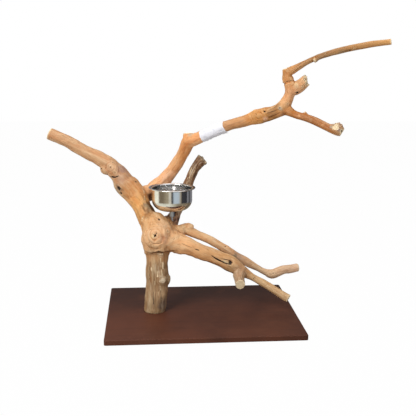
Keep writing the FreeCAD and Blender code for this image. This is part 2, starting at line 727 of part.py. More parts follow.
os.makedirs("parts", exist_ok=True)
for node, item in bodies.items():
    item.Shape.exportStep(f"parts/{node}.step")
    box = item.Shape.BoundBox
    print(f"{node}: {item.Shape.Volume / 1000:.1f} cm3, x {box.XMin:.1f} to {box.XMax:.1f}, "
          f"y {box.YMin:.1f} to {box.YMax:.1f}, z {box.ZMin:.1f} to {box.ZMax:.1f}")
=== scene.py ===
import math

import bmesh
import bpy
import numpy as np
from mathutils import Matrix, Vector, noise
from mathutils.bvhtree import BVHTree


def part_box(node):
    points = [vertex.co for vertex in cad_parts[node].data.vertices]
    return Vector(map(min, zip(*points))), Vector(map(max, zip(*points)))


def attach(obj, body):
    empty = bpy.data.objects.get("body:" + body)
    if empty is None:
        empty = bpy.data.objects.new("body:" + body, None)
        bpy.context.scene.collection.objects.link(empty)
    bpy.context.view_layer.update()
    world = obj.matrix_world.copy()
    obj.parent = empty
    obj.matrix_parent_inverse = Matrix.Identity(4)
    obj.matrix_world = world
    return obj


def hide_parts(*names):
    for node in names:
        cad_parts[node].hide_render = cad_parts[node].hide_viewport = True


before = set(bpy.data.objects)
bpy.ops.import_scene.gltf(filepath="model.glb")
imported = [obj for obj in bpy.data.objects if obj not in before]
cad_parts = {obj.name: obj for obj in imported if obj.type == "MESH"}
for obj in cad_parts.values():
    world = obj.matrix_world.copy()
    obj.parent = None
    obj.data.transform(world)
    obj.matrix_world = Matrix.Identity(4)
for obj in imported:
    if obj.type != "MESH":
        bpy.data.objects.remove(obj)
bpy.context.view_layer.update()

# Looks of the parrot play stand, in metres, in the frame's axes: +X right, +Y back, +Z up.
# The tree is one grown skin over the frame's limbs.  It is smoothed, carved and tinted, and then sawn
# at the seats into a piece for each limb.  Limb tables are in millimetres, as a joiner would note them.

MM = 0.001

# ---------------------------------------------------------------- camera

FRAME_PIXELS = 416
FOCAL_PIXELS = 705.7
SENSOR_WIDTH = 36.0
EYE = Vector((-0.1441, -1.8312, 0.6886))
YAW, PITCH, ROLL = math.radians(5.02), math.radians(12.01), math.radians(-0.42)


def view_axes():
    """Right, down and forward of the camera."""
    forward = Vector((math.sin(YAW) * math.cos(PITCH), math.cos(YAW) * math.cos(PITCH), -math.sin(PITCH)))
    level = Vector((math.cos(YAW), -math.sin(YAW), 0))
    below = forward.cross(level)
    right = math.cos(ROLL) * level + math.sin(ROLL) * below
    down = -math.sin(ROLL) * level + math.cos(ROLL) * below
    return right, down, forward


RIGHT, DOWN, FORWARD = view_axes()


def make_camera():
    data = bpy.data.cameras.new("camera")
    data.sensor_width = SENSOR_WIDTH
    data.lens = FOCAL_PIXELS / FRAME_PIXELS * SENSOR_WIDTH
    camera = bpy.data.objects.new("camera", data)
    bpy.context.scene.collection.objects.link(camera)
    turn = Matrix((RIGHT, -DOWN, -FORWARD)).transposed()
    camera.matrix_world = Matrix.Translation(EYE) @ turn.to_4x4()
    bpy.context.scene.camera = camera


def sight_line(u, v):
    """The direction from the eye through a pixel of the photograph."""
    middle = FRAME_PIXELS / 2
    return (FORWARD + RIGHT * (u - middle) / FOCAL_PIXELS + DOWN * (v - middle) / FOCAL_PIXELS).normalized()


# ---------------------------------------------------------------- shader fields


class Field:
    """A value that varies over a surface.  Sums on it add Math nodes."""

    def __init__(self, nodes, socket):
        self.nodes = nodes
        self.socket = socket

    def maths(self, operation, first, second):
        return self.nodes.add("ShaderNodeMath", {"operation": operation}, {0: first, 1: second})

    def __add__(self, other):
        return self.maths("ADD", self, other)

    def __radd__(self, other):
        return self.maths("ADD", other, self)

    def __sub__(self, other):
        return self.maths("SUBTRACT", self, other)

    def __rsub__(self, other):
        return self.maths("SUBTRACT", other, self)

    def __mul__(self, other):
        return self.maths("MULTIPLY", self, other)

    def __rmul__(self, other):
        return self.maths("MULTIPLY", other, self)


class Nodes:
    """The shader nodes of one material or of the world."""

    def __init__(self, tree):
        self.tree = tree
        self.tree.nodes.clear()

    def add(self, kind, settings=None, sockets=None, output=0):
        """A node of a kind, with its settings made first, and then its sockets filled or linked."""
        node = self.tree.nodes.new(kind)
        for name, value in (settings or {}).items():
            if name == "stops":
                ramp = node.color_ramp.elements
                while len(ramp) < len(value):
                    ramp.new(0.5)
                for stop, (place, colour) in zip(ramp, value):
                    stop.position = place
                    stop.color = colour
            else:
                setattr(node, name, value)
        for name, value in (sockets or {}).items():
            if isinstance(value, Field):
                self.tree.links.new(value.socket, node.inputs[name])
            else:
                node.inputs[name].default_value = value
        return Field(self, node.outputs[output] if node.outputs else None)

    def place(self):
        return self.add("ShaderNodeTexCoord", {}, {}, 3)

    def painted(self, name, output=2):
        """What is painted on the mesh: output 0 is a colour, 1 a vector and 2 a number."""
        return self.add("ShaderNodeAttribute", {"attribute_name": name}, {}, output)

    def clouds(self, place, scale, detail=3.0, rough=0.55, warp=0.0):
        return self.add("ShaderNodeTexNoise", {}, {"Vector": place, "Scale": scale, "Detail": detail,
                                                   "Roughness": rough, "Distortion": warp})

    def streaks(self, across, along, wide, long, detail=3.0, rough=0.55):
        """Noise that runs with the grain, in streaks of a width and length in metres."""
        return self.add("ShaderNodeTexNoise", {"noise_dimensions": "4D"},
                        {"Vector": across, "W": along * (wide / long), "Scale": 1 / wide, "Detail": detail,
                         "Roughness": rough})

    def between(self, value, low, high):
        """0 at the low value, 1 at the high one, smooth between."""
        return self.add("ShaderNodeMapRange", {"interpolation_type": "SMOOTHSTEP"},
                        {"Value": value, "From Min": low, "From Max": high})

    def colour(self, factor, first, second, way="MIX"):
        return self.add("ShaderNodeMix", {"data_type": "RGBA", "blend_type": way},
                        {0: factor, 6: first, 7: second}, 2)

    def layers(self, colour, rows):
        """Colours laid over a first one, each as strong as it says where its value passes low to high."""
        for value, low, high, strength, laid in rows:
            colour = self.colour(self.between(value, low, high) * strength, colour, laid)
        return colour

    def stretched(self, place, scale):
        return self.add("ShaderNodeVectorMath", {"operation": "MULTIPLY"}, {0: place, 1: scale})

    def bands(self, direction, stops):
        """Upright light and dark bands all round, from a direction."""
        turn = self.add("ShaderNodeTexGradient", {"gradient_type": "RADIAL"}, {"Vector": direction}, 1)
        return self.add("ShaderNodeValToRGB", {"stops": stops}, {"Fac": turn})


def finish(name, nodes_of, **constants):
    """A material that ends in one Principled BSDF.  nodes_of adds its nodes and says what feeds it."""
    material = bpy.data.materials.new(name)
    material.use_nodes = True
    nodes = Nodes(material.node_tree)
    colour, rough, height, strength, distance = nodes_of(nodes)
    bump = nodes.add("ShaderNodeBump", {}, {"Height": height, "Strength": strength, "Distance": distance})
    surface = nodes.add("ShaderNodeBsdfPrincipled", {}, {"Base Color": colour, "Roughness": rough,
                                                         "Normal": bump, **constants})
    nodes.add("ShaderNodeOutputMaterial", {}, {"Surface": surface})
    return material


def shade(red, green, blue):
    """A colour given as it shows on a screen, 0 to 255, as light."""
    return tuple(((c / 255 + 0.055) / 1.055) ** 2.4 if c > 10 else c / 255 / 12.92
                 for c in (red, green, blue)) + (1.0,)


# ---------------------------------------------------------------- finishes

# The waves of the rings on a sawn end, and how much the mottle bends them.
RING_WAVES, RING_BEND = 3400.0, 12.0
CRACK_COLOUR = shade(48, 31, 20)
PALE_WOOD = shade(240, 218, 178)
WEATHERED = shade(226, 216, 200)
BROWNER = (0.60, 0.43, 0.29, 1.0)
REDDER = (0.92, 0.66, 0.46, 1.0)


def wood_nodes(nodes):
    """Bare wood: a tint painted on the limb, with streaks and fine lines along its grain, painted shade in
    its hollows and a painted highlight on its rounded parts.
    """
    across, along = nodes.painted("across", 1), nodes.painted("along")
    tint, rough = nodes.painted("tint", 0), nodes.painted("rough")
    dark, pale, rings = nodes.painted("dark"), nodes.painted("pale"), nodes.painted("rings")
    hollow = nodes.painted("hollow")
    place = nodes.place()
    broad = nodes.streaks(across, along, 0.015, 0.11, 3.0)
    middle = nodes.streaks(across, along, 0.0055, 0.050, 4.0, 0.6)
    fine = nodes.streaks(across, along, 0.0022, 0.022, 4.0, 0.62)
    lines = nodes.streaks(across, along, 0.0010, 0.020, 2.0, 0.5)
    mottle = nodes.clouds(place, 48.0, 4.0, 0.62, 0.6)
    specks = nodes.clouds(place, 330.0, 3.0, 0.6)
    smudge = nodes.clouds(place, 120.0, 3.0, 0.6, 1.2)

    brown = nodes.colour(1.0, tint, BROWNER, "MULTIPLY")
    red = nodes.colour(1.0, tint, REDDER, "MULTIPLY")
    bright = nodes.colour(0.34, tint, PALE_WOOD)
    wood = nodes.layers(tint, [
        (broad, 0.50, 0.66, 0.55, red), (broad, 0.48, 0.34, 0.75, bright),
        (mottle, 0.54, 0.72, 0.55, red), (middle, 0.53, 0.70, 0.70, brown),
        (middle, 0.46, 0.30, 0.50, bright), (fine, 0.54, 0.70, 0.72, brown),
        (lines, 0.58, 0.73, 0.60, brown), (specks, 0.62, 0.72, 0.70, brown),
        # Painted light: hollows darkened to brown as painted shade, and rounded wood lightened as a painted
        # highlight
        (hollow, 0.05, 0.85, 0.80, brown), (hollow, -0.05, -0.75, 0.45, bright)])
    worn = nodes.between(middle, 0.45, 0.33) * rough
    wood = nodes.colour(worn * 0.36, wood, WEATHERED)
    wood = nodes.colour(nodes.between(fine, 0.50, 0.64) * rough * 0.75, wood, brown)
    wood = nodes.colour(nodes.between(middle, 0.56, 0.66) * rough * rough * 0.70, wood, CRACK_COLOUR)

    bent_rings = rings * RING_WAVES + mottle * RING_BEND
    ring_wave = nodes.add("ShaderNodeMath", {"operation": "SINE"}, {0: bent_rings})
    sawn = nodes.colour(nodes.between(ring_wave, -0.5, 1.0) * 0.35, PALE_WOOD, tint)
    sawn = nodes.colour(nodes.between(smudge, 0.52, 0.70) * 0.55, sawn, brown)
    wood = nodes.colour(nodes.between(pale + smudge * 0.35, 0.30, 0.95), wood, sawn)
    # dark holds the wood's own dark marks, with painted shade under the crotch's lip and partly in its pits
    # and cracks
    wood = nodes.colour(nodes.between(dark + smudge * 0.30, 0.30, 0.80), wood, CRACK_COLOUR)
    height = broad * 0.4 + middle * 0.7 + fine * 0.6 + lines * 0.3
    return wood, 0.50 + fine * 0.25 + dark * 0.2, height, 0.70, 0.0014


def wood_finish(name):
    return finish(name, wood_nodes, **{"Specular IOR Level": 0.42})


def board_nodes(nodes):
    """Dark brown satin stain on a board, with painted light: a little lighter towards its front and darker to
    its back.
    """
    place = nodes.place()
    cloud = nodes.clouds(place, 5.0, 3.0, 0.5)
    patch = nodes.clouds(place, 16.0, 4.0, 0.6)
    grain = nodes.clouds(nodes.stretched(place, (9.0, 160.0, 60.0)), 1.0, 4.0, 0.6)
    pores = nodes.clouds(nodes.stretched(place, (60.0, 1500.0, 600.0)), 1.0, 2.0, 0.5)
    deep = nodes.add("ShaderNodeSeparateXYZ", {}, {0: place}, 1)
    # Painted light and shade: the board's brown runs lighter towards the front and darker towards the back
    brown = nodes.colour(nodes.between(deep, 0.19, -0.06), shade(50, 29, 22), shade(92, 52, 36))
    brown = nodes.layers(brown, [
        (cloud, 0.38, 0.66, 0.55, shade(66, 38, 28)), (patch, 0.50, 0.72, 0.40, shade(98, 60, 43)),
        (grain, 0.52, 0.72, 0.35, shade(52, 30, 22)), (pores, 0.62, 0.78, 0.30, shade(44, 26, 20))])
    return brown, 0.44 + patch * 0.16, grain * 0.6 + pores * 0.4, 0.14, 0.0006


def steel_nodes(colour, rough, wear):
    """Bright steel, with the faint smears that a used cup has."""
    def nodes_of(nodes):
        place = nodes.place()
        smear = nodes.clouds(place, 38.0, 3.0, 0.55, 0.4)
        brushed = nodes.clouds(nodes.stretched(place, (420.0, 420.0, 12.0)), 1.0, 2.0, 0.5)
        dull = nodes.colour(1.0, colour, (0.74, 0.73, 0.70, 1.0), "MULTIPLY")
        steel = nodes.colour(nodes.between(smear, 0.46, 0.66) * wear, colour, dull)
        return steel, rough + brushed * (rough * 0.6) + smear * (wear * 0.10), smear, 0.02, 0.0002
    return nodes_of


def paper_nodes(nodes):
    """White label paper with soft creases."""
    place = nodes.place()
    fibre = nodes.clouds(place, 900.0, 3.0, 0.6)
    crease = nodes.clouds(place, 70.0, 4.0, 0.6, 0.8)
    sheet = nodes.layers(shade(240, 240, 246), [
        (crease, 0.50, 0.68, 0.6, shade(206, 208, 218)), (fibre, 0.55, 0.75, 0.25, shade(216, 216, 221))])
    return sheet, 0.62 + crease * 0.2, crease + fibre * 0.2, 0.6, 0.0008


def dowel_nodes(nodes):
    """Plain turned dowel wood."""
    grain = nodes.clouds(nodes.stretched(nodes.place(), (300.0, 300.0, 60.0)), 1.0, 4.0, 0.6)
    wood = nodes.colour(nodes.between(grain, 0.35, 0.65), shade(214, 180, 132), shade(176, 136, 92))
    return wood, 0.6 + grain * 0.2, grain, 0.2, 0.0005


# ---------------------------------------------------------------- limbs

# Rings of each limb after its root, as steps (right, back, up) from the root, and the girth there.
LIMBS = {
    "trunk_post": (57, [(5, 2, 56, 57), (7, 4, 112, 58.5), (7, 7, 158, 60.5)]),
    "crotch": (66, [(1, 4, 22, 74), (4, 10, 47, 86), (-4.5, 22, 70.5, 77), (-24.5, 42, 90.5, 52)]),
    "left_leader": (52, [(-13.5, 20, 24.5, 51), (-29, 38, 50.5, 60), (-48, 47, 72, 66),
                         (-66, 53, 90, 58)]),
    "left_limb": (58, [(-14, 7, 24, 49), (-35.5, 14, 45, 44), (-63, 21, 61.5, 38), (-103, 32, 81.5, 36),
                       (-151, 43, 107, 33.5), (-201.5, 55, 129, 34)]),
    "upper_limb": (46, [(11, 13, 1.5, 45), (22, 25, 12, 42.5), (45, 35, 30, 40), (69.5, 32, 60, 35.5),
                        (91.5, 18, 95.5, 34), (103.5, 4, 121.5, 36.5), (112, -12, 144.5, 38.5),
                        (132, -28, 155, 34), (161, -46, 169.5, 31), (206, -70, 191.5, 29),
                        (246.5, -90, 206, 30.5), (270, -102, 216.5, 33)]),
    "fork_head": (33, [(16, -8, 5.5, 38.5), (34.5, -17, 9.5, 38), (56, -28, 17, 33.5),
                       (76.5, -38, 30.5, 36.5), (90, -41, 53.5, 28), (97, -43, 74, 27.5),
                       (92.5, -44, 94.5, 25)]),
    "top_perch": (26, [(-5.5, 0, 15, 27), (-3, -2, 27.5, 23), (15.5, -9, 38, 18), (38.5, -18, 52, 15),
                       (70.5, -32, 67, 15), (117, -48, 81.5, 15.5), (174.5, -66, 94.5, 15),
                       (233.5, -84, 103, 14)]),
    "lower_perch": (23, [(16, -6.5, -7.5, 19.5), (42, -24, -14.5, 19), (70, -40, -26.5, 21),
                         (91, -52, -36.5, 21.5), (109, -62, -41, 28), (119, -66, -47, 18)]),
    "stump_limb": (44, [(6, 10, 4, 38), (14, 25.5, 17.5, 33), (26.5, 39.5, 38.5, 30.5),
                        (40, 49.5, 64, 28.5), (54, 57.5, 101, 27), (67.5, 62.5, 133.5, 26),
                        (80.5, 64.5, 153, 28), (94.5, 62.5, 167.5, 33)]),
    "rear_limb": (33.5, [(14, 7, 1.5, 28.5), (44.5, 5.5, -13.5, 25.5), (80, 6, -30, 24),
                         (117, 6, -52, 24), (153, 6.5, -75.5, 24), (200, 8.5, -104.5, 21),
                         (229.5, 10.5, -122, 17), (251, 12.5, -133, 25), (279.5, 18.5, -128.5, 26),
                         (308, 27.5, -125.5, 24.5), (336, 36.5, -123, 23.5)]),
    "front_limb": (50, [(22, -3, -7.5, 43.5), (58, -5, -24.5, 42), (98.5, -8, -38.5, 40.5),
                        (128.5, -11, -53.5, 42), (155.5, -16, -69, 33.5), (178, -22, -82.5, 22),
                        (213.5, -36, -101, 20), (245, -53, -118, 20.5), (277, -70, -134.5, 21.5)]),
}
# The limb that carries each one, the ring there, and how far its collar reaches out of the carrier.
CARRIED = {
    "crotch": ("trunk_post", 3, 0), "left_leader": ("crotch", 4, 0), "left_limb": ("left_leader", 4, 0),
    "upper_limb": ("left_leader", 2, 22), "fork_head": ("upper_limb", 12, 0),
    "top_perch": ("fork_head", 7, 0), "lower_perch": ("fork_head", 4, 7.5),
    "stump_limb": ("crotch", 2, 30), "rear_limb": ("crotch", 2, 28), "front_limb": ("crotch", 2, 30),
}
# Sawn-off side branches: the limb and ring they leave, the girth there, and their rings.
SIDE_BRANCHES = {
    "side_stub": ("fork_head", 6, 25, [(19, -5, 10, 25), (33, -10, 23, 22.5)]),
    "foot_stub": ("front_limb", 5, 34, [(-8.5, -20, -13, 32), (-8.5, -34, -19.5, 28), (-10, -56, -23.5, 25)]),
    "elbow_knob": ("upper_limb", 7, 33, [(0, 6, 21.5, 29)]),
    "bend_knob": ("top_perch", 1, 24, [(-4, 2, 21, 18)]),
    "twig_stub": ("top_perch", 5, 9, [(-15.5, -3, -12, 8)]),
    "twig_nub": ("lower_perch", 2, 10, [(-9, 8, 16, 6)]),
}
TRUNK_FROM_LEFT, TRUNK_FROM_FRONT = 127, 206
# How weathered the wood of a limb is; the others are smooth.
WEATHERING = {"stump_limb": 1.0, "trunk_post": 0.5, "foot_stub": 0.35}
# How far a side branch's wood stands out beyond the frame's solid, in millimetres; one lies a little within.
FULLER = {"side_stub": 3.0, "twig_stub": 1.2, "foot_stub": -0.6}
# How fresh a sawn end looks; the others are fresh.
SAWN_ENDS = {"stump_limb": 0.4, "foot_stub": 0.8, "top_perch": 0.7}
# Tints of the wood along each limb: the ring, and the colour there.
TINTS = {
    "trunk_post": {0: (158, 128, 92), 1: (176, 142, 104), 3: (148, 114, 76)},
    "crotch": {0: (204, 154, 104), 2: (226, 176, 128), 4: (210, 154, 94)},
    "left_leader": {0: (208, 152, 88), 2: (208, 152, 92), 4: (200, 150, 104)},
    "left_limb": {0: (170, 130, 100), 1: (194, 146, 104), 3: (202, 156, 112), 6: (200, 150, 106)},
    "upper_limb": {0: (232, 174, 124), 4: (240, 180, 126), 6: (224, 150, 84), 8: (240, 170, 110),
                   10: (198, 142, 94), 12: (212, 152, 94)},
    "fork_head": {0: (230, 164, 92), 2: (206, 142, 72), 3: (182, 122, 60), 4: (220, 162, 104),
                  6: (234, 184, 138), 7: (228, 168, 112)},
    "top_perch": {0: (220, 158, 96), 3: (188, 126, 62), 5: (142, 90, 28), 8: (200, 136, 58)},
    "lower_perch": {0: (196, 130, 64), 2: (170, 98, 30), 4: (174, 102, 36), 6: (178, 142, 108)},
    "stump_limb": {0: (168, 122, 92), 3: (162, 124, 90), 6: (132, 92, 58), 8: (108, 74, 44)},
    "rear_limb": {0: (232, 182, 130), 3: (232, 182, 130), 5: (210, 164, 122), 8: (216, 178, 140),
                  11: (220, 178, 146)},
    "front_limb": {0: (240, 184, 130), 3: (204, 150, 96), 5: (186, 144, 100), 7: (196, 154, 104),
                   9: (196, 156, 112)},
    "foot_stub": {0: (184, 148, 112), 3: (176, 146, 116)},
    "side_stub": {0: (220, 170, 124), 2: (216, 164, 112)},
}


def ring(limb, number):
    """A ring's step from the limb's root, and its girth, in metres."""
    root_girth, rings = LIMBS[limb]
    if number == 0:
        return Vector(), root_girth * MM
    return Vector(rings[number - 1][:3]) * MM, rings[number - 1][3] * MM


def limb_roots():
    board_low, board_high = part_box("base_board")
    foot = Vector((board_low.x + TRUNK_FROM_LEFT * MM, board_low.y + TRUNK_FROM_FRONT * MM, board_high.z))
    roots = {"trunk_post": foot}
    for limb, (carrier, number, collar) in CARRIED.items():
        step, girth = ring(carrier, number)
        roots[limb] = roots[carrier] + step
        if collar:
            roots[limb] += ring(limb, 1)[0].normalized() * (girth / 2 + collar * MM)
    return roots


ROOTS = limb_roots()


class Run:
    """A straight run of a heart line, between two rings."""

    def __init__(self, owner, flow, start, end, girths, reached, tints, free_end=False):
        self.owner = owner
        self.flow = flow
        self.start = np.array(start)
        self.line = np.array(end) - self.start
        self.length = float(np.linalg.norm(self.line))
        self.girths = girths
        self.reached = reached
        self.tints = [np.array(shade(*tint)[:3]) for tint in tints]
        self.free_end = free_end


def tint_at(flow, number):
    stops = TINTS[flow]
    places = sorted(stops)
    return tuple(float(np.interp(number, places, [stops[place][part] for place in places]))
                 for part in range(3))


# How much wider a collar is where it starts, at the heart line of the limb that carries it.
COLLAR_FLARE = 1.15


def heart_runs():
    """Every run of the tree's heart lines, with the wood's reach along it from the ground."""
    runs = []
    reached = {"trunk_post": [0.0]}
    carried_from = {(carrier, number) for carrier, number, collar in CARRIED.values() if not collar}
    for limb, (root_girth, rings) in LIMBS.items():
        root = ROOTS[limb]
        if limb in CARRIED:
            carrier, number, collar = CARRIED[limb]
            begun = reached[carrier][number]
            reached[limb] = [begun]
            if collar:
                heart = ROOTS[carrier] + ring(carrier, number)[0]
                girths = (root_girth * MM * COLLAR_FLARE, root_girth * MM)
                tint = tint_at(limb, 0)
                runs.append(Run(carrier, limb, heart, root, girths, begun, (tint, tint)))
                reached[limb] = [begun + (root - heart).length]
        last = len(rings)
        for number in range(1, last + 1):
            before, girth_before = ring(limb, number - 1)
            here, girth_here = ring(limb, number)
            free = number == last and (limb, last) not in carried_from
            runs.append(Run(limb, limb, root + before, root + here, (girth_before, girth_here),
                            reached[limb][-1], (tint_at(limb, number - 1), tint_at(limb, number)), free))
            reached[limb].append(reached[limb][-1] + (here - before).length)
    for branch, (limb, number, root_girth, rings) in SIDE_BRANCHES.items():
        heart = ROOTS[limb] + ring(limb, number)[0]
        before, girth_before = Vector(), root_girth * MM
        along = reached[limb][number]
        for step, row in enumerate(rings, 1):
            here, girth_here = Vector(row[:3]) * MM, row[3] * MM
            if branch in TINTS:
                tints = [tint_at(branch, step - 1), tint_at(branch, step)]
            else:
                tints = [tint_at(limb, number)] * 2
            runs.append(Run(limb, branch, heart + before, heart + here, (girth_before, girth_here),
                            along, tints, step == len(rings)))
            along += (here - before).length
            before, girth_before = here, girth_here
    return runs


RUNS = heart_runs()
# How sharply one flow gives way to the next, and how many of its radii away a run still counts.
BLEND, FARTHEST_RUN = 0.14, 4
# How near the flat end a point counts as sawn, and how many radii out from the heart line.
SAW_DEPTH, SAW_REACH = 0.0022, 1.1


def follow_hearts(points):
    """What the heart lines say at each point: its limb, the grain, the girth, the tint and sawn ends."""
    count = len(points)
    flows = sorted({run.flow for run in RUNS})
    limbs = list(LIMBS)
    best = np.full((count, len(flows)), np.inf)
    owner_best = np.full((count, len(limbs)), np.inf)
    # Each row of a flow's table: across (3), along, reach, tint (3), weathering, fuller.
    table = np.zeros((count, len(flows), 10))
    sawn, rings = np.zeros(count), np.zeros(count)
    for run in RUNS:
        flow, limb = flows.index(run.flow), limbs.index(run.owner)
        offset = points - run.start
        raw = offset @ run.line / run.length ** 2
        share = np.clip(raw, 0, 1)
        reach = run.girths[0] / 2 + share * (run.girths[1] - run.girths[0]) / 2
        closeness = np.linalg.norm(offset - share[:, None] * run.line, axis=1) / reach
        owner_best[:, limb] = np.minimum(owner_best[:, limb], closeness)
        near = np.nonzero(closeness < np.minimum(best[:, flow], FARTHEST_RUN))[0]
        best[near, flow] = closeness[near]
        table[near, flow, 0:3] = offset[near] - raw[near, None] * run.line
        table[near, flow, 3] = run.reached + raw[near] * run.length
        table[near, flow, 4] = reach[near]
        table[near, flow, 5:8] = run.tints[0] + share[near, None] * (run.tints[1] - run.tints[0])
        table[near, flow, 8] = WEATHERING.get(run.flow, 0.0)
        table[near, flow, 9] = FULLER.get(run.flow, 0.0) * MM
        if run.free_end:
            radius = np.linalg.norm(offset - raw[:, None] * run.line, axis=1)
            face = (np.abs(raw - 1) * run.length < SAW_DEPTH) & (radius < reach * SAW_REACH)
            sawn[face] = SAWN_ENDS.get(run.flow, 1.0)
            rings[face] = radius[face]
    weight = np.exp(-(best - best.min(axis=1)[:, None]) / BLEND)
    weight /= weight.sum(axis=1)[:, None]
    mixed = np.einsum("nf,nfk->nk", weight, table)
    return {"owner": owner_best.argmin(axis=1), "across": mixed[:, 0:3], "along": mixed[:, 3],
            "reach": mixed[:, 4], "tint": mixed[:, 5:8], "rough": mixed[:, 8], "fuller": mixed[:, 9],
            "sawn": sawn, "rings": rings}


# ---------------------------------------------------------------- the skin of the tree

VOXEL = 0.0012
INNER_PIECES = ["lag_screw", "side_screws"] + [f"{limb}_dowel" for limb in CARRIED]
# The filling of the rod's hole in the wood: its length, its radius, and how far below the rod it starts.
ROD_BURIED, ROD_HOLE_RADIUS, ROD_HOLE_LAP = 0.0325, 0.0042, 0.002
# Rounds of smoothing: of creases, of the grain and tint, and of the skin that hollows are measured from.
FILLET_ROUNDS = 26
GRAIN_ROUNDS = 12
HOLLOW_ROUNDS = 18
HOLLOW_DEPTH = 0.0011
WOOD_SLOTS = {"trunk_post": "trunk_wood", "crotch": "trunk_wood", "left_leader": "trunk_wood",
              "stump_limb": "bark_wood"}


def new_piece(name, mesh, material):
    piece = bpy.data.objects.new(name, mesh)
    bpy.context.scene.collection.objects.link(piece)
    mesh.materials.clear()
    mesh.materials.append(material)
    return piece


def tree_skin():
    """One closed skin over all the limbs, their dowel holes and the rod's hole filled."""
    grown = bmesh.new()
    for node in [*LIMBS, *INNER_PIECES]:
        grown.from_mesh(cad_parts[node].data)
    bmesh.ops.remove_doubles(grown, verts=grown.verts, dist=1e-6)
    rod_low, rod_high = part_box("cup_rod")
    middle = (rod_low + rod_high) / 2
    middle.z = rod_low.z - ROD_HOLE_LAP + ROD_BURIED / 2
    bmesh.ops.create_cone(grown, cap_ends=True, segments=24, radius1=ROD_HOLE_RADIUS,
                          radius2=ROD_HOLE_RADIUS, depth=ROD_BURIED, matrix=Matrix.Translation(middle))
    mesh = bpy.data.meshes.new("limbs_joined")
    grown.to_mesh(mesh)
    grown.free()
    holder = bpy.data.objects.new("limbs_joined", mesh)
    bpy.context.scene.collection.objects.link(holder)
    remesh = holder.modifiers.new("skin", "REMESH")
    remesh.mode = "VOXEL"
    remesh.voxel_size = VOXEL
    bpy.context.view_layer.update()
    seen = holder.evaluated_get(bpy.context.evaluated_depsgraph_get())
    skin = bpy.data.meshes.new_from_object(seen)
    bpy.data.objects.remove(holder)
    return skin


def points_of(mesh):
    flat = np.zeros(len(mesh.vertices) * 3)
    mesh.vertices.foreach_get("co", flat)
    return flat.reshape(-1, 3)


def put_points(mesh, points):
    mesh.vertices.foreach_set("co", points.ravel())
    mesh.update()


def edges_of(mesh):
    flat = np.zeros(len(mesh.edges) * 2, np.int64)
    mesh.edges.foreach_get("vertices", flat)
    return flat.reshape(-1, 2)


def normals_of(mesh):
    flat = np.zeros(len(mesh.vertices) * 3)
    mesh.vertices.foreach_get("normal", flat)
    return flat.reshape(-1, 3)


def neighbour_count(edges, count):
    return np.bincount(edges.ravel(), minlength=count).astype(float)


def neighbour_mean(values, edges, share):
    total = np.column_stack([
        np.bincount(edges[:, 0], values[edges[:, 1], axis], len(values))
        + np.bincount(edges[:, 1], values[edges[:, 0], axis], len(values)) for axis in range(3)])
    return total / share[:, None]


def soften(mesh, edges, rounds, fill_only):
    """Smooth a skin.  With fill_only, only its hollows rise: creases fill, and round wood keeps its girth."""
    share = neighbour_count(edges, len(mesh.vertices))
    for _ in range(rounds):
        points = points_of(mesh)
        shift = neighbour_mean(points, edges, share) - points
        if fill_only:
            normal = normals_of(mesh)
            rise = np.einsum("ij,ij->i", shift, normal)
            shift = np.clip(rise - 0.00001, 0, None)[:, None] * normal
        put_points(mesh, points + shift * (0.9 if fill_only else 0.5))


def islands(count, pairs):
    """The island that each thing is on, named by its first thing, from the pairs that touch."""
    label = np.arange(count)
    while True:
        low = np.minimum(label[pairs[:, 0]], label[pairs[:, 1]])
        before = label.copy()
        np.minimum.at(label, pairs[:, 0], low)
        np.minimum.at(label, pairs[:, 1], low)
        label = label[label]
        if np.array_equal(before, label):
            return label


def drop_inner_shells(mesh):
    """Keep the one outer shell: closed pockets at the ends of the dowels are dropped."""
    label = islands(len(mesh.vertices), edges_of(mesh))
    names, sizes = np.unique(label, return_counts=True)
    if len(names) == 1:
        return
    keep = names[np.argmax(sizes)]
    shell = bmesh.new()
    shell.from_mesh(mesh)
    shell.verts.ensure_lookup_table()
    loose = [shell.verts[i] for i in np.nonzero(label != keep)[0]]
    bmesh.ops.delete(shell, geom=loose, context="VERTS")
    shell.to_mesh(mesh)
    shell.free()


# ---------------------------------------------------------------- marks on the wood

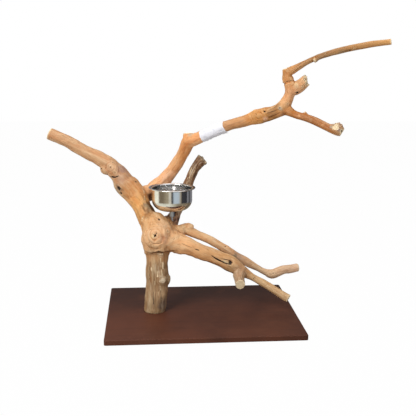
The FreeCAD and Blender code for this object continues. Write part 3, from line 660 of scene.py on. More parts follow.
# Each mark is placed by a pixel of the photograph, and lies on the wood that is seen there.
# Knots: pixel, reach, height of the swell, depth of the pit in it, its half width, all in millimetres.
KNOTS = {
    "stump_knob_a": (203.0, 156.4, 9, 2.2, 0.8, 2.2), "stump_knob_b": (205.4, 163.2, 8, 2.4, 0.9, 2.0),
    "stump_knob_c": (198.6, 154.6, 7, 1.4, 0.6, 1.6), "twig_cut_knot": (314.0, 59.4, 4, 0.5, 0.5, 1.3),
    "post_bump": (168.2, 278.6, 12, 3.2, 0.0, 3.0), "crotch_bump_left": (141.8, 240.0, 12, 2.2, 0.0, 3.0),
    "crotch_bump_up": (142.4, 219.8, 9, 1.8, 0.6, 2.4), "ridge_bump": (170.0, 221.0, 12, 1.6, 0.0, 3.0),
    "great_swirl": (155.4, 235.6, 34, 4.2, 2.4, 4.5), "swirl_eye_right": (167.4, 231.3, 12, 0.8, 1.6, 2.6),
    "post_sawn_knot": (162.0, 280.0, 14, 4.2, 0.0, 4.0), "fork_ring_knot": (279.9, 107.9, 9, 1.4, 1.0, 2.4),
    "perch_lip": (283.6, 82.4, 5, 2.4, 0.0, 1.0), "end_knob_top": (337.6, 125.0, 13, 5.5, 0.0, 3.0),
    "collar_bump": (263.0, 109.6, 7, 1.4, 0.0, 2.0), "stub_disc": (296.5, 85.5, 8, 0.9, 0.7, 2.0),
    "stub_grey_disc": (302.4, 86.6, 5, 0.5, 0.6, 1.6), "collar_scar": (265.3, 118.9, 8, 1.4, 0.8, 2.0),
    "rear_bend_knot": (273.1, 273.2, 10, 0.7, 0.9, 2.5), "burl_eye_top": (112.9, 162.6, 7, 0.8, 1.4, 1.8),
    "burl_eye_low": (115.2, 172.9, 8, 0.9, 1.6, 2.2), "burl_face": (110.8, 167.4, 17, 3.2, 0.6, 3.0),
    "left_edge_knot": (142.9, 217.0, 9, 1.2, 1.4, 2.4), "left_low_knot": (143.4, 242.0, 10, 1.6, 1.2, 2.6),
    "fork_small_knot": (287.7, 103.8, 5, 0.6, 0.8, 1.6), "perch_nub": (317.4, 53.8, 4, 1.3, 0.0, 1.0),
    "perch_grey_knot": (324.8, 53.2, 5, 0.7, 0.5, 1.2), "perch_under_bump": (354.4, 48.8, 6, 1.1, 0.5, 1.4),
    "bend_knot": (287.0, 70.4, 5, 0.8, 0.7, 1.4), "stump_low_knob": (188.4, 181.0, 8, 1.2, 0.5, 1.6),
    "rear_root_knob": (186.6, 223.2, 9, 2.4, 0.0, 2.0), "perch_ring": (310.9, 119.9, 6, 0.5, 0.5, 1.5),
    "collar_crown": (255.0, 111.8, 11, 4.2, 0.0, 2.0), "collar_swell": (259.0, 116.0, 20, 1.2, 0.0, 3.0),
}
# Pits: pixel, half width, depth. Each is darkened inside, partly the wood's dark and partly painted shade in
# the hole.
PITS = {
    "crotch_pit": (159.3, 219.1, 3.2, 3.0), "left_cavity": (118.0, 188.6, 8.0, 5.0),
    "left_cavity_tail": (120.6, 193.6, 4.5, 3.5), "collar_hole": (264.7, 111.6, 3.4, 4.0),
    "under_burl": (101.2, 168.6, 3.0, 2.5), "stub_recess": (297.2, 92.0, 3.0, 2.6),
    "stub_recess_low": (294.6, 96.4, 2.4, 2.0), "fork_notch": (294.2, 98.4, 2.6, 2.0),
    "rear_speck": (225.3, 246.5, 2.0, 1.2), "leader_nub": (136.2, 181.4, 3.5, 1.5),
    "perch_end_hole": (342.1, 131.4, 4.2, 6.0), "perch_notch": (350.0, 50.8, 1.8, 1.2),
    "cavity_mouth": (230.6, 262.4, 6.5, 6.0),
}
# Cracks: pixels along them, half width, depth. Their dark is partly the wood's and partly painted shade in
# the groove.
CRACKS = {
    "post_crack": ([(153.4, 288), (153.2, 296), (153.8, 304), (153.2, 314)], 0.8, 1.6),
    "post_crack_left": ([(150.2, 262), (149.6, 272), (150.0, 280)], 0.5, 0.8),
    "post_crack_right": ([(160.6, 289), (161.2, 299), (160.8, 308)], 0.5, 0.8),
    "swirl_crack_up": ([(153.8, 237.4), (155.6, 235.4), (156.8, 232.9)], 1.3, 2.0),
    "swirl_crack_side": ([(153.6, 234.6), (156.9, 236.4)], 0.9, 1.4),
    "cavity_upper": ([(211.7, 255.7), (215.6, 258.6), (219.3, 260.9), (224.0, 263.2), (230.9, 264.7)],
                     2.5, 6.0),
    "cavity_roof": ([(221.0, 258.6), (226.5, 259.6), (231.0, 260.8)], 1.1, 1.8),
    "front_slit": ([(195.0, 249.1), (197.0, 249.6), (199.4, 250.3)], 1.5, 3.0),
    "small_slit": ([(252.6, 279.8), (253.8, 278.4), (255.0, 277.4)], 1.1, 1.6),
    "perch_step": ([(283.0, 82.0), (287.0, 81.6), (291.0, 80.8), (293.6, 79.8)], 1.2, 1.6),
    "burl_crease": ([(110.0, 176.4), (114.6, 177.4), (119.0, 176.0)], 2.2, 1.8),
    "rear_crevice": ([(209.4, 245.0), (215.0, 247.8), (221.0, 250.6)], 1.2, 1.5),
    "stump_split": ([(201.0, 158.0), (203.4, 161.0), (204.6, 164.6)], 1.4, 2.2),
    "upper_check": ([(250.0, 113.0), (244.0, 116.0), (236.0, 119.6)], 0.5, 0.4),
}
# Folds of the wood, lightly darkened, partly the wood's own tone and partly painted shade in the fold: pixels
# along them, half width, depth.
FOLDS = {
    "swirl_in": ([(149.6, 238.4), (148.3, 234.6), (149.4, 230.4), (153.9, 226.9), (159.6, 226.6)], 1.6, 1.2),
    "swirl_in_low": ([(149.8, 240.4), (153.0, 243.0), (158.0, 243.4), (163.0, 241.8)], 1.6, 1.3),
    "swirl_right": ([(165.0, 227.4), (169.2, 231.0), (169.6, 236.0), (165.8, 240.8)], 1.5, 1.1),
    "swirl_out_low": ([(146.4, 243.4), (149.6, 247.0), (157.2, 248.6), (166.0, 246.4)], 2.0, 1.5),
    "swirl_out_left": ([(144.4, 240.0), (144.0, 234.0), (146.0, 228.0)], 1.6, 1.0),
    "swirl_up": ([(147.0, 225.6), (151.6, 222.4), (158.0, 221.8), (164.0, 223.6)], 1.6, 1.0),
    "swirl_far_right": ([(172.0, 228.4), (175.4, 233.0), (174.4, 239.0), (169.6, 244.0)], 1.8, 1.1),
    "root_fold": ([(158.0, 216.8), (163.4, 219.4), (168.6, 222.6)], 1.5, 1.2),
    "collar_seam": ([(249.9, 112.0), (251.2, 115.5), (252.8, 118.8), (254.7, 122.0)], 1.4, 1.8),
    "collar_fold_a": ([(254.0, 110.6), (256.0, 114.0), (260.5, 117.6)], 1.3, 1.2),
    "collar_fold_b": ([(257.5, 109.5), (260.5, 112.5), (264.0, 114.6)], 1.1, 1.0),
    "collar_fold_c": ([(253.4, 116.2), (258.0, 118.6), (262.4, 121.4)], 1.1, 1.0),
    "burl_fold_a": ([(106.6, 162.0), (105.6, 168.4), (108.4, 174.6), (114.0, 177.0)], 1.5, 1.6),
    "burl_fold_b": ([(112.6, 157.4), (117.4, 162.6), (119.0, 170.0), (118.0, 176.0)], 1.5, 1.5),
    "bend_fold": ([(281.0, 72.6), (284.0, 75.0), (288.0, 75.4)], 1.0, 0.8),
    "stub_fold": ([(292.6, 93.4), (296.0, 94.6), (299.4, 93.0)], 0.9, 0.8),
}
# Dark lines of open grain: pixels along them, half width, depth.
OPEN_GRAIN = {
    "fork_a": ([(267.0, 118.0), (273.0, 116.0), (280.0, 112.4)], 0.8, 0.6),
    "fork_b": ([(266.6, 113.6), (272.4, 111.6), (278.6, 109.4)], 0.9, 0.7),
    "fork_c": ([(270.6, 109.6), (276.0, 106.2), (281.0, 101.6)], 0.9, 0.7),
    "fork_d": ([(272.0, 119.4), (278.0, 117.4), (282.6, 114.4)], 0.7, 0.5),
    "fork_e": ([(276.0, 103.8), (279.0, 100.2), (281.6, 96.6)], 0.7, 0.5),
    "perch_a": ([(292.0, 73.0), (298.0, 68.4), (304.0, 64.2)], 0.6, 0.4),
    "perch_b": ([(296.0, 66.6), (302.0, 62.2), (309.0, 58.4)], 0.6, 0.4),
    "perch_c": ([(338.0, 53.0), (346.0, 50.6), (354.0, 49.0)], 0.6, 0.4),
    "stump_a": ([(190.6, 175.0), (191.6, 169.0), (194.4, 162.6)], 0.9, 0.9),
    "stump_b": ([(187.0, 181.0), (188.6, 173.0), (191.4, 166.0)], 0.8, 0.8),
    "stump_c": ([(195.6, 170.0), (197.6, 165.0), (200.6, 161.0)], 0.8, 0.8),
    "front_a": ([(181.0, 243.0), (187.0, 246.0), (192.0, 247.6)], 0.5, 0.3),
    "front_b": ([(243.0, 275.4), (252.0, 280.6), (262.0, 286.6)], 0.6, 0.4),
    "rear_a": ([(214.0, 243.0), (224.0, 249.0), (232.0, 254.0)], 0.5, 0.3),
}
# Streaks of pale filler left on the wood: pixels along them, half width.
FILLER = {
    "seam_a": ([(141.8, 183.0), (142.6, 187.0)], 1.5), "seam_b": ([(143.2, 189.0), (143.9, 193.4)], 1.1),
    "seam_c": ([(144.6, 196.0), (145.0, 200.2)], 1.2),
    "post_a": ([(157.4, 253.8), (160.6, 254.8), (163.0, 254.0)], 1.7),
    "post_b": ([(160.4, 258.6), (161.2, 263.4)], 1.6), "post_c": ([(162.6, 262.0), (163.0, 268.4)], 1.7),
    "post_d": ([(161.4, 270.0), (162.0, 275.0)], 1.5), "post_e": ([(157.8, 271.6), (157.4, 276.6)], 1.6),
    "post_f": ([(164.6, 269.6), (164.4, 274.6)], 1.2), "post_g": ([(151.4, 267.6), (151.9, 270.8)], 1.0),
    "post_h": ([(158.4, 292.0), (158.8, 298.0)], 0.8), "post_i": ([(160.4, 286.0), (160.8, 291.0)], 1.0),
    "post_j": ([(154.8, 281.0), (154.6, 285.6)], 0.8),
    "stump_a": ([(189.4, 178.0), (190.4, 171.0), (193.0, 164.6)], 1.2),
    "stump_b": ([(193.6, 173.0), (195.4, 167.6)], 1.1), "stump_c": ([(186.6, 184.0), (187.4, 177.6)], 1.0),
}
# Patches: pixel, reach in millimetres, colour as it shows, strength. Most are the wood's own colour; those
# whose names or notes say shade or shadow are painted shade.
PATCHES = {
    "collar_grey": (122.6, 168.6, 17, (154, 118, 102), 0.85),
    "collar_grey_low": (121.0, 178.0, 14, (186, 146, 120), 0.6),
    "burl_light": (110.0, 167.0, 17, (218, 170, 130), 0.6),
    "leader_gold": (139.0, 203.0, 26, (236, 172, 96), 0.6),
    # Painted shade: these three patches darken the leader's side in the hollow beside the cup
    "leader_shade": (150.4, 198.0, 22, (92, 54, 12), 0.8),
    "leader_olive_shade": (150.4, 206.6, 22, (66, 36, 4), 0.88),
    "leader_edge_shade": (148.6, 214.0, 18, (140, 92, 40), 0.6),
    "seam_top": (141.6, 184.0, 6, (214, 200, 178), 0.5),
    "seam_mid": (144.3, 192.1, 5, (206, 186, 150), 0.4),
    "seam_low": (145.0, 198.6, 5, (206, 186, 150), 0.4),
    "ridge_gold": (170.0, 219.6, 16, (190, 136, 74), 0.6),
    "swirl_pale": (152.9, 236.4, 7, (246, 214, 158), 0.8),
    "swirl_pink": (164.0, 238.6, 14, (206, 150, 118), 0.55),
    "swirl_sweep": (163.0, 224.0, 18, (232, 190, 150), 0.55),
    "root_dark": (167.4, 215.6, 10, (104, 66, 44), 0.9),
    "root_red": (176.6, 219.0, 14, (172, 116, 92), 0.85),
    "post_white_a": (161.0, 255.4, 8, (206, 180, 148), 0.5),
    "post_white_b": (162.4, 264.6, 9, (206, 180, 148), 0.5),
    "post_white_c": (158.2, 273.0, 9, (206, 178, 144), 0.4),
    "post_white_d": (162.2, 279.6, 10, (238, 220, 192), 0.95),
    "post_white_e": (151.9, 269.4, 4, (214, 186, 150), 0.7),
    "post_foot_shade": (163.0, 305.0, 18, (112, 94, 84), 0.75),
    "post_side_shade": (168.4, 262.0, 9, (96, 72, 52), 0.7),
    "lip_shade": (152.4, 251.4, 14, (128, 92, 62), 0.5),
    "rear_pale": (187.2, 228.4, 13, (240, 206, 160), 0.8),
    "rear_lump": (187.6, 224.4, 9, (226, 156, 100), 0.8),
    "rear_pale_b": (214.5, 240.2, 8, (232, 196, 160), 0.6),
    "rear_grey": (239.2, 254.2, 16, (178, 152, 132), 0.7),
    # Painted shadow: where the rear limb crosses above the front limb and shades it
    "rear_cross_shadow": (234.4, 256.9, 9, (112, 94, 70), 0.9),
    "ring_grey": (279.9, 107.9, 5.5, (182, 176, 162), 0.95),
    "disc_pale": (296.3, 85.3, 5.5, (244, 216, 166), 0.95),
    "knob_rim": (341.9, 131.6, 6, (206, 190, 166), 0.9),
    "knob_grey_top": (340.0, 123.4, 10, (176, 150, 128), 0.9),
    "disc_grey": (302.6, 86.8, 3.5, (190, 178, 160), 0.8),
    "stub_brown": (297.0, 93.0, 6, (150, 104, 66), 0.7),
    "left_cavity_brown": (118.4, 190.0, 13, (128, 92, 62), 0.9),
    "seam_dots": (143.0, 188.0, 4, (222, 210, 190), 0.9),
    "stump_bark": (198.4, 160.0, 12, (140, 104, 72), 0.7),
    "stump_bark_low": (191.0, 172.0, 9, (196, 166, 130), 0.5),
    "stump_end": (204.6, 161.4, 8, (124, 92, 64), 0.6), "twig_cut": (314.0, 59.3, 4, (238, 200, 150), 0.9),
    "perch_top_dark": (343.0, 53.4, 12, (136, 98, 56), 0.7),
    "perch_tip": (391.0, 41.4, 4, (236, 196, 140), 0.8),
    "swirl_low": (152.0, 246.6, 14, (166, 122, 78), 0.7),
    "crotch_left": (142.6, 228.0, 12, (196, 140, 86), 0.6),
    "cavity_wood": (224.3, 262.0, 5, (222, 202, 160), 0.9),
    "cavity_wood_b": (228.0, 263.0, 4, (204, 178, 132), 0.8),
    "front_shade": (229.0, 268.6, 12, (150, 112, 66), 0.6),
    "stub_grey": (240.0, 272.0, 22, (180, 148, 118), 0.5),
    # Painted shade: a dark olive patch in a hollow of the fork
    "fork_hollow_shade": (271.6, 112.6, 17, (150, 98, 38), 0.7),
    "fork_stripe": (277.0, 106.6, 12, (152, 98, 38), 0.6),
    "fork_under": (268.0, 121.6, 12, (142, 92, 36), 0.7),
    "fork_right": (283.6, 114.0, 10, (150, 100, 50), 0.7),
    "scar_pink": (265.6, 118.8, 6, (236, 178, 140), 0.8),
    "perch_mark_a": (299.0, 115.7, 4, (236, 184, 130), 0.7),
    "perch_mark_b": (322.8, 124.8, 5, (226, 166, 110), 0.6),
    "knob_grey": (338.4, 125.0, 12, (182, 154, 134), 0.9),
    "knob_mauve": (338.8, 129.6, 5, (132, 106, 104), 0.8),
    "knob_back": (331.2, 126.9, 5, (176, 160, 142), 0.8),
    "bend_dark": (284.4, 73.4, 9, (176, 120, 62), 0.6),
    "elbow_grey": (190.4, 134.2, 10, (176, 156, 132), 0.7),
    "upper_orange": (186.0, 146.0, 26, (224, 152, 92), 0.6),
    "upper_cup_side": (168.0, 178.0, 24, (228, 178, 142), 0.6),
    "shade_below_elbow": (199.0, 148.0, 10, (166, 112, 66), 0.6),
}
# How many small marks there are on the sides that the photograph doesn't show.
SCATTERED = 170
# Swells of the wood: width of the noise, its shift, and height.
SWELLS = [(0.036, 3.1, 0.0024), (0.015, 9.7, 0.0010)]
# Relief that runs with the grain: width, length and shift of the noise; then the heights.
FLUTES, RIDGES, FINE_GRAIN = (0.013, 0.15, 2.6), (0.0060, 0.070, 5.3), (0.0028, 0.036, 1.9)
FLUTE_HIGH, RIDGE_HIGH, FINE_HIGH = 0.0014, 0.0006, 0.00022
# The lip of the crotch: its height over the seat, how steep it is, how far it stands out, and in below.
LIP_ABOVE_SEAT, LIP_SLOPE, LIP_OUT, LIP_IN = 0.013, 0.0035, 0.0050, 0.0016
# The step at the top perch's seat, in the same way.
STEP_SLOPE, STEP_OUT, STEP_IN = 0.0024, 0.0026, 0.0022
KNOT_RIPPLES, RIPPLE_SHARE = 2.6, 0.26
PIT_SPREAD = 1.3
FILLER_THICK = 0.0003
# The middle of the label, round which the wood is smoother.
LABEL_MIDDLE = np.array([0.035, 0.083, 0.491])
# How near its plane a limb's end or the foot is drawn flat.
END_FLAT = 0.0016
# The torn end of the side stub: how far back it is torn, and the side on which it stands highest.
TORN_BACK, TORN_HIGH_SIDE = 0.007, (-0.35, -0.2, 0.9)
# Flat saw cuts, as ovals to the camera: pixel, half width, half height, depth of the cut.
SAW_CUTS = {"perch_oval": (335.3, 127.0, 6.5, 13.0, 2.2), "perch_hollow": (341.9, 131.6, 5.0, 6.0, 0.6)}


# The distances from the eye between which the tree stands.
SIGHT_NEAR, SIGHT_FAR = 1.4, 2.3


def wood_point(tree, u, v):
    """The point of the wood seen at a pixel; beside an edge, the nearest wood to the line of sight."""
    hit = tree.ray_cast(EYE, sight_line(u, v))[0]
    if hit is not None:
        return hit
    best = None
    for reach in np.linspace(SIGHT_NEAR, SIGHT_FAR, 60):
        near, _, _, gap = tree.find_nearest(EYE + sight_line(u, v) * float(reach))
        if best is None or gap < best[1]:
            best = (near, gap)
    return best[0]


def tree_of(mesh):
    shape = bmesh.new()
    shape.from_mesh(mesh)
    tree = BVHTree.FromBMesh(shape)
    shape.free()
    return tree


def seat_on_wood(tree, row):
    """Where a mark lies on the wood, and how it faces."""
    place = wood_point(tree, row[0], row[1])
    return np.array(place), np.array(tree.find_nearest(place)[1])


def path_on_wood(tree, path):
    """A path of pixels as points on the wood."""
    return [np.array(wood_point(tree, u, v)) for u, v in path]


def set_out_marks(tree):
    """The marks laid on the skin: for each kind, the mark's sizes with its place on the wood."""
    return {
        "knots": [(*seat_on_wood(tree, row), *row[2:]) for row in KNOTS.values()],
        "pits": [(*seat_on_wood(tree, row), *row[2:]) for row in PITS.values()],
        "patches": [(*seat_on_wood(tree, row), *row[2:]) for row in PATCHES.values()],
        "cuts": [(*seat_on_wood(tree, row), *row[2:]) for row in SAW_CUTS.values()],
        # stain is how dark a groove is painted: in open grain the wood's own dark, in cracks and folds partly
        # the wood's dark and partly painted shade
        "cracks": [(path_on_wood(tree, path), half, depth, stain)
                   for table, stain in ((CRACKS, 1.3), (FOLDS, 0.34), (OPEN_GRAIN, 0.9))
                   for path, half, depth in table.values()],
        "filler": [(path_on_wood(tree, path), half) for path, half in FILLER.values()],
    }


def scatter_marks(marks, points, normals, fields):
    """Small pits, knots and stains on the sides that the photograph doesn't show, with a fixed seed."""
    chance = np.random.RandomState(7)
    unseen = np.nonzero(np.einsum("ij,ij->i", normals, np.array(EYE) - points) < 0.2)[0]
    for place in chance.choice(unseen, SCATTERED, replace=False):
        size = chance.uniform(0.6, 1.6) * min(fields["reach"][place] / 0.018, 1.0)
        kind = chance.choice(["pit", "knot", "stain", "stain"])
        if kind == "pit":
            marks["pits"].append((points[place], normals[place], 1.3 * size, 1.2 * size))
        elif kind == "knot":
            sizes = (6 * size, 0.7 * size, 0.7 * size, 1.6 * size)
            marks["knots"].append((points[place], normals[place], *sizes))
        else:
            colour = (168, 118, 74) if chance.uniform() < 0.6 else (236, 204, 164)
            marks["patches"].append((points[place], normals[place], 8 * size, colour, 0.45))


def fade(distance, reach):
    """1 at no distance, 0 at the reach and beyond, smooth between."""
    x = np.clip(1 - distance / reach, 0, 1)
    return x * x * (3 - 2 * x)


def close_to(points, place, reach):
    """The numbers of the points within a reach of a place, and their distances."""
    near = np.nonzero(np.abs(points - place).max(axis=1) < reach)[0]
    return near, np.linalg.norm(points[near] - place, axis=1)


def line_distance(points, path):
    """Distance of each point from a path, and its share of the way along."""
    nearest = np.full(len(points), np.inf)
    way = np.zeros(len(points))
    count = len(path) - 1
    for number in range(count):
        run = path[number + 1] - path[number]
        share = np.clip((points - path[number]) @ run / (run @ run), 0, 1)
        gap = np.linalg.norm(points - path[number] - share[:, None] * run, axis=1)
        closer = gap < nearest
        nearest[closer] = gap[closer]
        way[closer] = ((number + share) / count)[closer]
    return nearest, way


def along_path(points, path):
    """The numbers of the points beside a path, their distance from it and their share of the way along."""
    middle = sum(path) / len(path)
    span = max(np.linalg.norm(spot - middle) for spot in path) + 0.006
    near, _ = close_to(points, middle, span)
    return near, *line_distance(points[near], path)


def soft_noise(places):
    return np.array([noise.noise(place) for place in places.tolist()])


def with_grain(fields, wide, long, shift):
    """Soft noise that is drawn out along the grain, of a width and a length in metres."""
    slide = np.array([0.62, 0.35, 0.70])
    return soft_noise(fields["across"] / wide + fields["along"][:, None] / long * slide + shift)


def carve(points, fields, marks):
    """How far each point of the skin stands out or in, and its share of dark and pale."""
    girth = np.clip(fields["reach"] / 0.018, 0.30, 1.25)
    rough = fields["rough"]
    rise = girth * sum(soft_noise(points / wide + shift) * high for wide, shift, high in SWELLS)
    flutes, ridges, fine = (with_grain(fields, *kind) for kind in (FLUTES, RIDGES, FINE_GRAIN))
    rise += (fields["fuller"] + girth * flutes * FLUTE_HIGH + ridges * RIDGE_HIGH * (1 + 1.8 * rough)
             + fine * FINE_HIGH * (1 + 2 * rough))
    dark = np.clip(-ridges - 0.24, 0, 1) * 2.6 * rough ** 2.4
    pale = np.zeros(len(points))
    smooth_label = fade(np.linalg.norm(points - LABEL_MIDDLE, axis=1), 0.05)
    rise *= 1 - 0.7 * np.clip(smooth_label * 2, 0, 1)
    carve_crotch_lip(points, flutes, ridges, rise, dark)
    carve_perch_step(points, rise)
    carve_knots(points, marks["knots"], ridges, rise, dark, pale)
    for place, _, half, depth in marks["pits"]:
        near, gap = close_to(points, place, half * 2 * MM)
        gap = gap * (1 + 0.5 * ridges[near] + 0.4 * fine[near])
        rise[near] -= fade(gap, half * PIT_SPREAD * MM) * depth * MM
        # The pit is darkened: partly the wood's dark, partly painted shade in the hole
        dark[near] += fade(gap, half * PIT_SPREAD * MM) * 0.95
    carve_cracks(points, marks["cracks"], fine, rise, dark)
    for path, half in marks["filler"]:
        near, gap, _ = along_path(points, path)
        width = half * MM * (1 + 1.1 * fine[near] + 0.6 * soft_noise(points[near] / 0.003))
        pale[near] += fade(gap, width * 1.3) * 1.1
        rise[near] += fade(gap, width * 1.3) * FILLER_THICK
    rise *= np.clip((points[:, 2] - ROOTS["trunk_post"].z) / 0.010, 0, 1)
    return rise, dark, pale


def carve_crotch_lip(points, flutes, ridges, rise, dark):
    """The crotch swells over the post at the front, with a dark line of painted shade under its lip."""
    over = (points[:, 2] - ROOTS["crotch"].z - LIP_ABOVE_SEAT + 0.005 * flutes
            + 0.004 * soft_noise(points / 0.03))
    facing_front = np.clip((ROOTS["crotch"].y + 0.012 - points[:, 1]) / 0.02, 0, 1) \
        * fade(np.abs(points[:, 0] - ROOTS["crotch"].x - 0.004), 0.062)
    rise += np.clip(over / LIP_SLOPE + 0.5, 0, 1) * fade(np.abs(over), 0.040) * facing_front * LIP_OUT
    rise -= np.clip(0.5 - over / LIP_SLOPE, 0, 1) * fade(np.abs(over), 0.022) * facing_front * LIP_IN
    # Painted shade: a dark line under the lip, where the lip shades the post
    dark += fade(np.abs(over + 0.0022), 0.0030) * facing_front * np.clip(0.35 + 1.6 * ridges, 0, 1)


def carve_perch_step(points, rise):
    """A step at the seat of the top perch: the fork stands out, and the perch is drawn in."""
    root, run = np.array(ROOTS["top_perch"]), np.array(ring("top_perch", 1)[0].normalized())
    past = (points - root) @ run + 0.0022 * soft_noise(points / 0.007)
    at_perch = fade(np.linalg.norm(points - root, axis=1), 0.034) ** 0.5
    rise += np.clip(0.5 - past / STEP_SLOPE, 0, 1) * fade(np.abs(past), 0.020) * at_perch * STEP_OUT
    rise -= np.clip(0.5 + past / STEP_SLOPE, 0, 1) * fade(np.abs(past), 0.026) * at_perch * STEP_IN


def carve_knots(points, knots, ridges, rise, dark, pale):
    """Swells with a spiral of ripples round them, and a pit in the middle of most."""
    for place, _, reach, height, pit, half in knots:
        reach, height, pit, half = reach * MM, height * MM, pit * MM, half * MM
        near, gap = close_to(points, place, reach * 1.6)
        turn = np.arctan2(points[near, 2] - place[2], points[near, 0] - place[0])
        wave = np.cos(gap / reach * 2 * math.pi * KNOT_RIPPLES + turn + 2.6 * ridges[near])
        rise[near] += fade(gap, reach * 1.5) * (height + height * RIPPLE_SHARE * wave * (gap > half))
        rise[near] -= fade(gap, half) * pit
        dark[near] += fade(gap, half * 0.9) * (0.9 if pit else 0.0)
        dark[near] += np.clip(-wave - 0.55, 0, 1) * fade(gap, reach * 1.3) * 0.45
        pale[near] += np.exp(-((gap - half * 1.5) / (half * 0.5)) ** 2) * (0.45 if pit else 0.0)


def carve_cracks(points, cracks, fine, rise, dark):
    """Grooves along paths, narrower at their ends."""
    for path, half, depth, stain in cracks:
        near, gap, way = along_path(points, path)
        taper = 0.35 + 0.65 * np.sin(np.clip(way, 0.02, 0.98) * math.pi)
        width = half * MM * taper * (1 + 0.6 * fine[near])
        rise[near] -= fade(gap, width * 1.4) * depth * MM * taper
        # stain darkens the groove: in open grain the wood's own dark, in cracks and folds partly the wood's
        # dark and partly painted shade
        dark[near] += fade(gap, width * 1.4) * stain


def cut_flat(points, fields, marks):
    """Saw the flat faces.  Returns how pale each point is from it, and its distance from a cut's middle."""
    pale = np.zeros(len(points))
    rings = fields["rings"].copy()
    for place, normal, wide, high, depth in marks["cuts"]:
        near, _ = close_to(points, place, high * 1.5 * MM)
        offset = points[near] - place
        oval = np.hypot(offset @ np.array(RIGHT) / (wide * MM), offset @ np.array(DOWN) / (high * MM))
        stands = offset @ normal + depth * MM
        past = near[(oval < 1.15) & (stands > 0) & (offset @ np.array(FORWARD) < 0.006)]
        points[past] -= ((points[past] - place) @ normal + depth * MM)[:, None] * normal
        pale[past] = 1.0
        rings[past] = np.linalg.norm(points[past] - place, axis=1)
    for run in RUNS:
        if run.free_end:
            saw_end(points, run)
    foot = points[:, 2] < ROOTS["trunk_post"].z + END_FLAT
    points[foot, 2] = ROOTS["trunk_post"].z
    return pale, rings


def saw_end(points, run):
    """Draw the points at a limb's free end to its flat face, and tear the end of the side stub."""
    way = run.line / run.length
    end = run.start + run.line
    near, _ = close_to(points, end, run.girths[1] * 0.62)
    past = (points[near] - end) @ way
    face = near[np.abs(past) < END_FLAT]
    points[face] -= ((points[face] - end) @ way)[:, None] * way
    if run.flow == "side_stub":
        torn = near[past > -TORN_BACK]
        splinters = soft_noise(points[torn] / 0.0062 + 2.4) + 0.9 * soft_noise(points[torn] / 0.0030)
        high_side = np.clip((points[torn] - end) @ np.array(TORN_HIGH_SIDE) / 0.008, -0.5, 1.2)
        points[torn] += (0.0030 + 0.0055 * splinters + 0.0050 * high_side)[:, None] * way


# ---------------------------------------------------------------- sawing the tree into its limbs

SEAT_REACH = 0.85
CRUMB_ROUNDS = 40


def owners_by_seats(centres, nearest):
    """The limb of each face: the nearest limb, but near a seat the one on that side of its plane."""
    names = list(LIMBS)
    chosen = nearest.copy()
    for limb, (carrier, _, _) in CARRIED.items():
        child, parent = names.index(limb), names.index(carrier)
        offset = centres - np.array(ROOTS[limb])
        near = np.linalg.norm(offset, axis=1) < LIMBS[limb][0] * MM * SEAT_REACH
        ours = near & ((chosen == child) | (chosen == parent))
        beyond = offset @ np.array(ring(limb, 1)[0].normalized()) > 0
        chosen[ours & beyond] = child
        chosen[ours & ~beyond] = parent
    return chosen


def give_back_crumbs(cut, owners):
    """Faces of a limb that lie apart from the rest of it go to the limb that surrounds them."""
    cut.faces.index_update()
    shared = [edge for edge in cut.edges if len(edge.link_faces) == 2]
    pairs = np.array([[face.index for face in edge.link_faces] for edge in shared])
    together = pairs[owners[pairs[:, 0]] == owners[pairs[:, 1]]]
    label = islands(len(owners), together)
    names, sizes = np.unique(label, return_counts=True)
    largest = {int(owners[name]): name for name in names[np.argsort(sizes)]}
    lost = label != np.array([largest[owner] for owner in owners.tolist()])
    for _ in range(CRUMB_ROUNDS):
        for here, there in (pairs.T, pairs.T[::-1]):
            edge_of_crumb = lost[here] & ~lost[there]
            owners[here[edge_of_crumb]] = owners[there[edge_of_crumb]]
            lost[here[edge_of_crumb]] = False
    return owners


def saw_at_seats(skin):
    """Cut the skin along each seat's plane, so that the limbs part cleanly."""
    cut = bmesh.new()
    cut.from_mesh(skin)
    for limb in CARRIED:
        root, run = ROOTS[limb], ring(limb, 1)[0].normalized()
        reach = LIMBS[limb][0] * MM * SEAT_REACH
        faces = [face for face in cut.faces if (face.verts[0].co - root).length < reach]
        edges = {edge for face in faces for edge in face.edges}
        verts = {vert for face in faces for vert in face.verts}
        bmesh.ops.bisect_plane(cut, geom=[*verts, *edges, *faces], dist=1e-7, plane_co=root, plane_no=run)
    return cut


def limb_piece(cut, number, limb):
    """One limb of the tree, closed over its seats."""
    part = cut.copy()
    owner = part.faces.layers.int["owner"]
    bmesh.ops.delete(part, geom=[face for face in part.faces if face[owner] != number], context="FACES")
    open_edges = [edge for edge in part.edges if edge.is_boundary]
    for face in part.faces:
        face.smooth = True
    for edge in open_edges:
        edge.smooth = False
    closed = bmesh.ops.holes_fill(part, edges=open_edges, sides=0)
    bmesh.ops.triangulate(part, faces=[face for face in closed["faces"] if face.is_valid])
    mesh = bpy.data.meshes.new(f"{limb}_wood")
    part.to_mesh(mesh)
    part.free()
    return mesh


def paint(mesh, kind, name, values):
    layer = mesh.attributes.new(name, kind, "POINT")
    key = {"FLOAT": "value", "FLOAT_VECTOR": "vector", "FLOAT_COLOR": "color", "INT": "value"}[kind]
    layer.data.foreach_set(key, values.astype(np.int32 if kind == "INT" else np.float32).ravel())


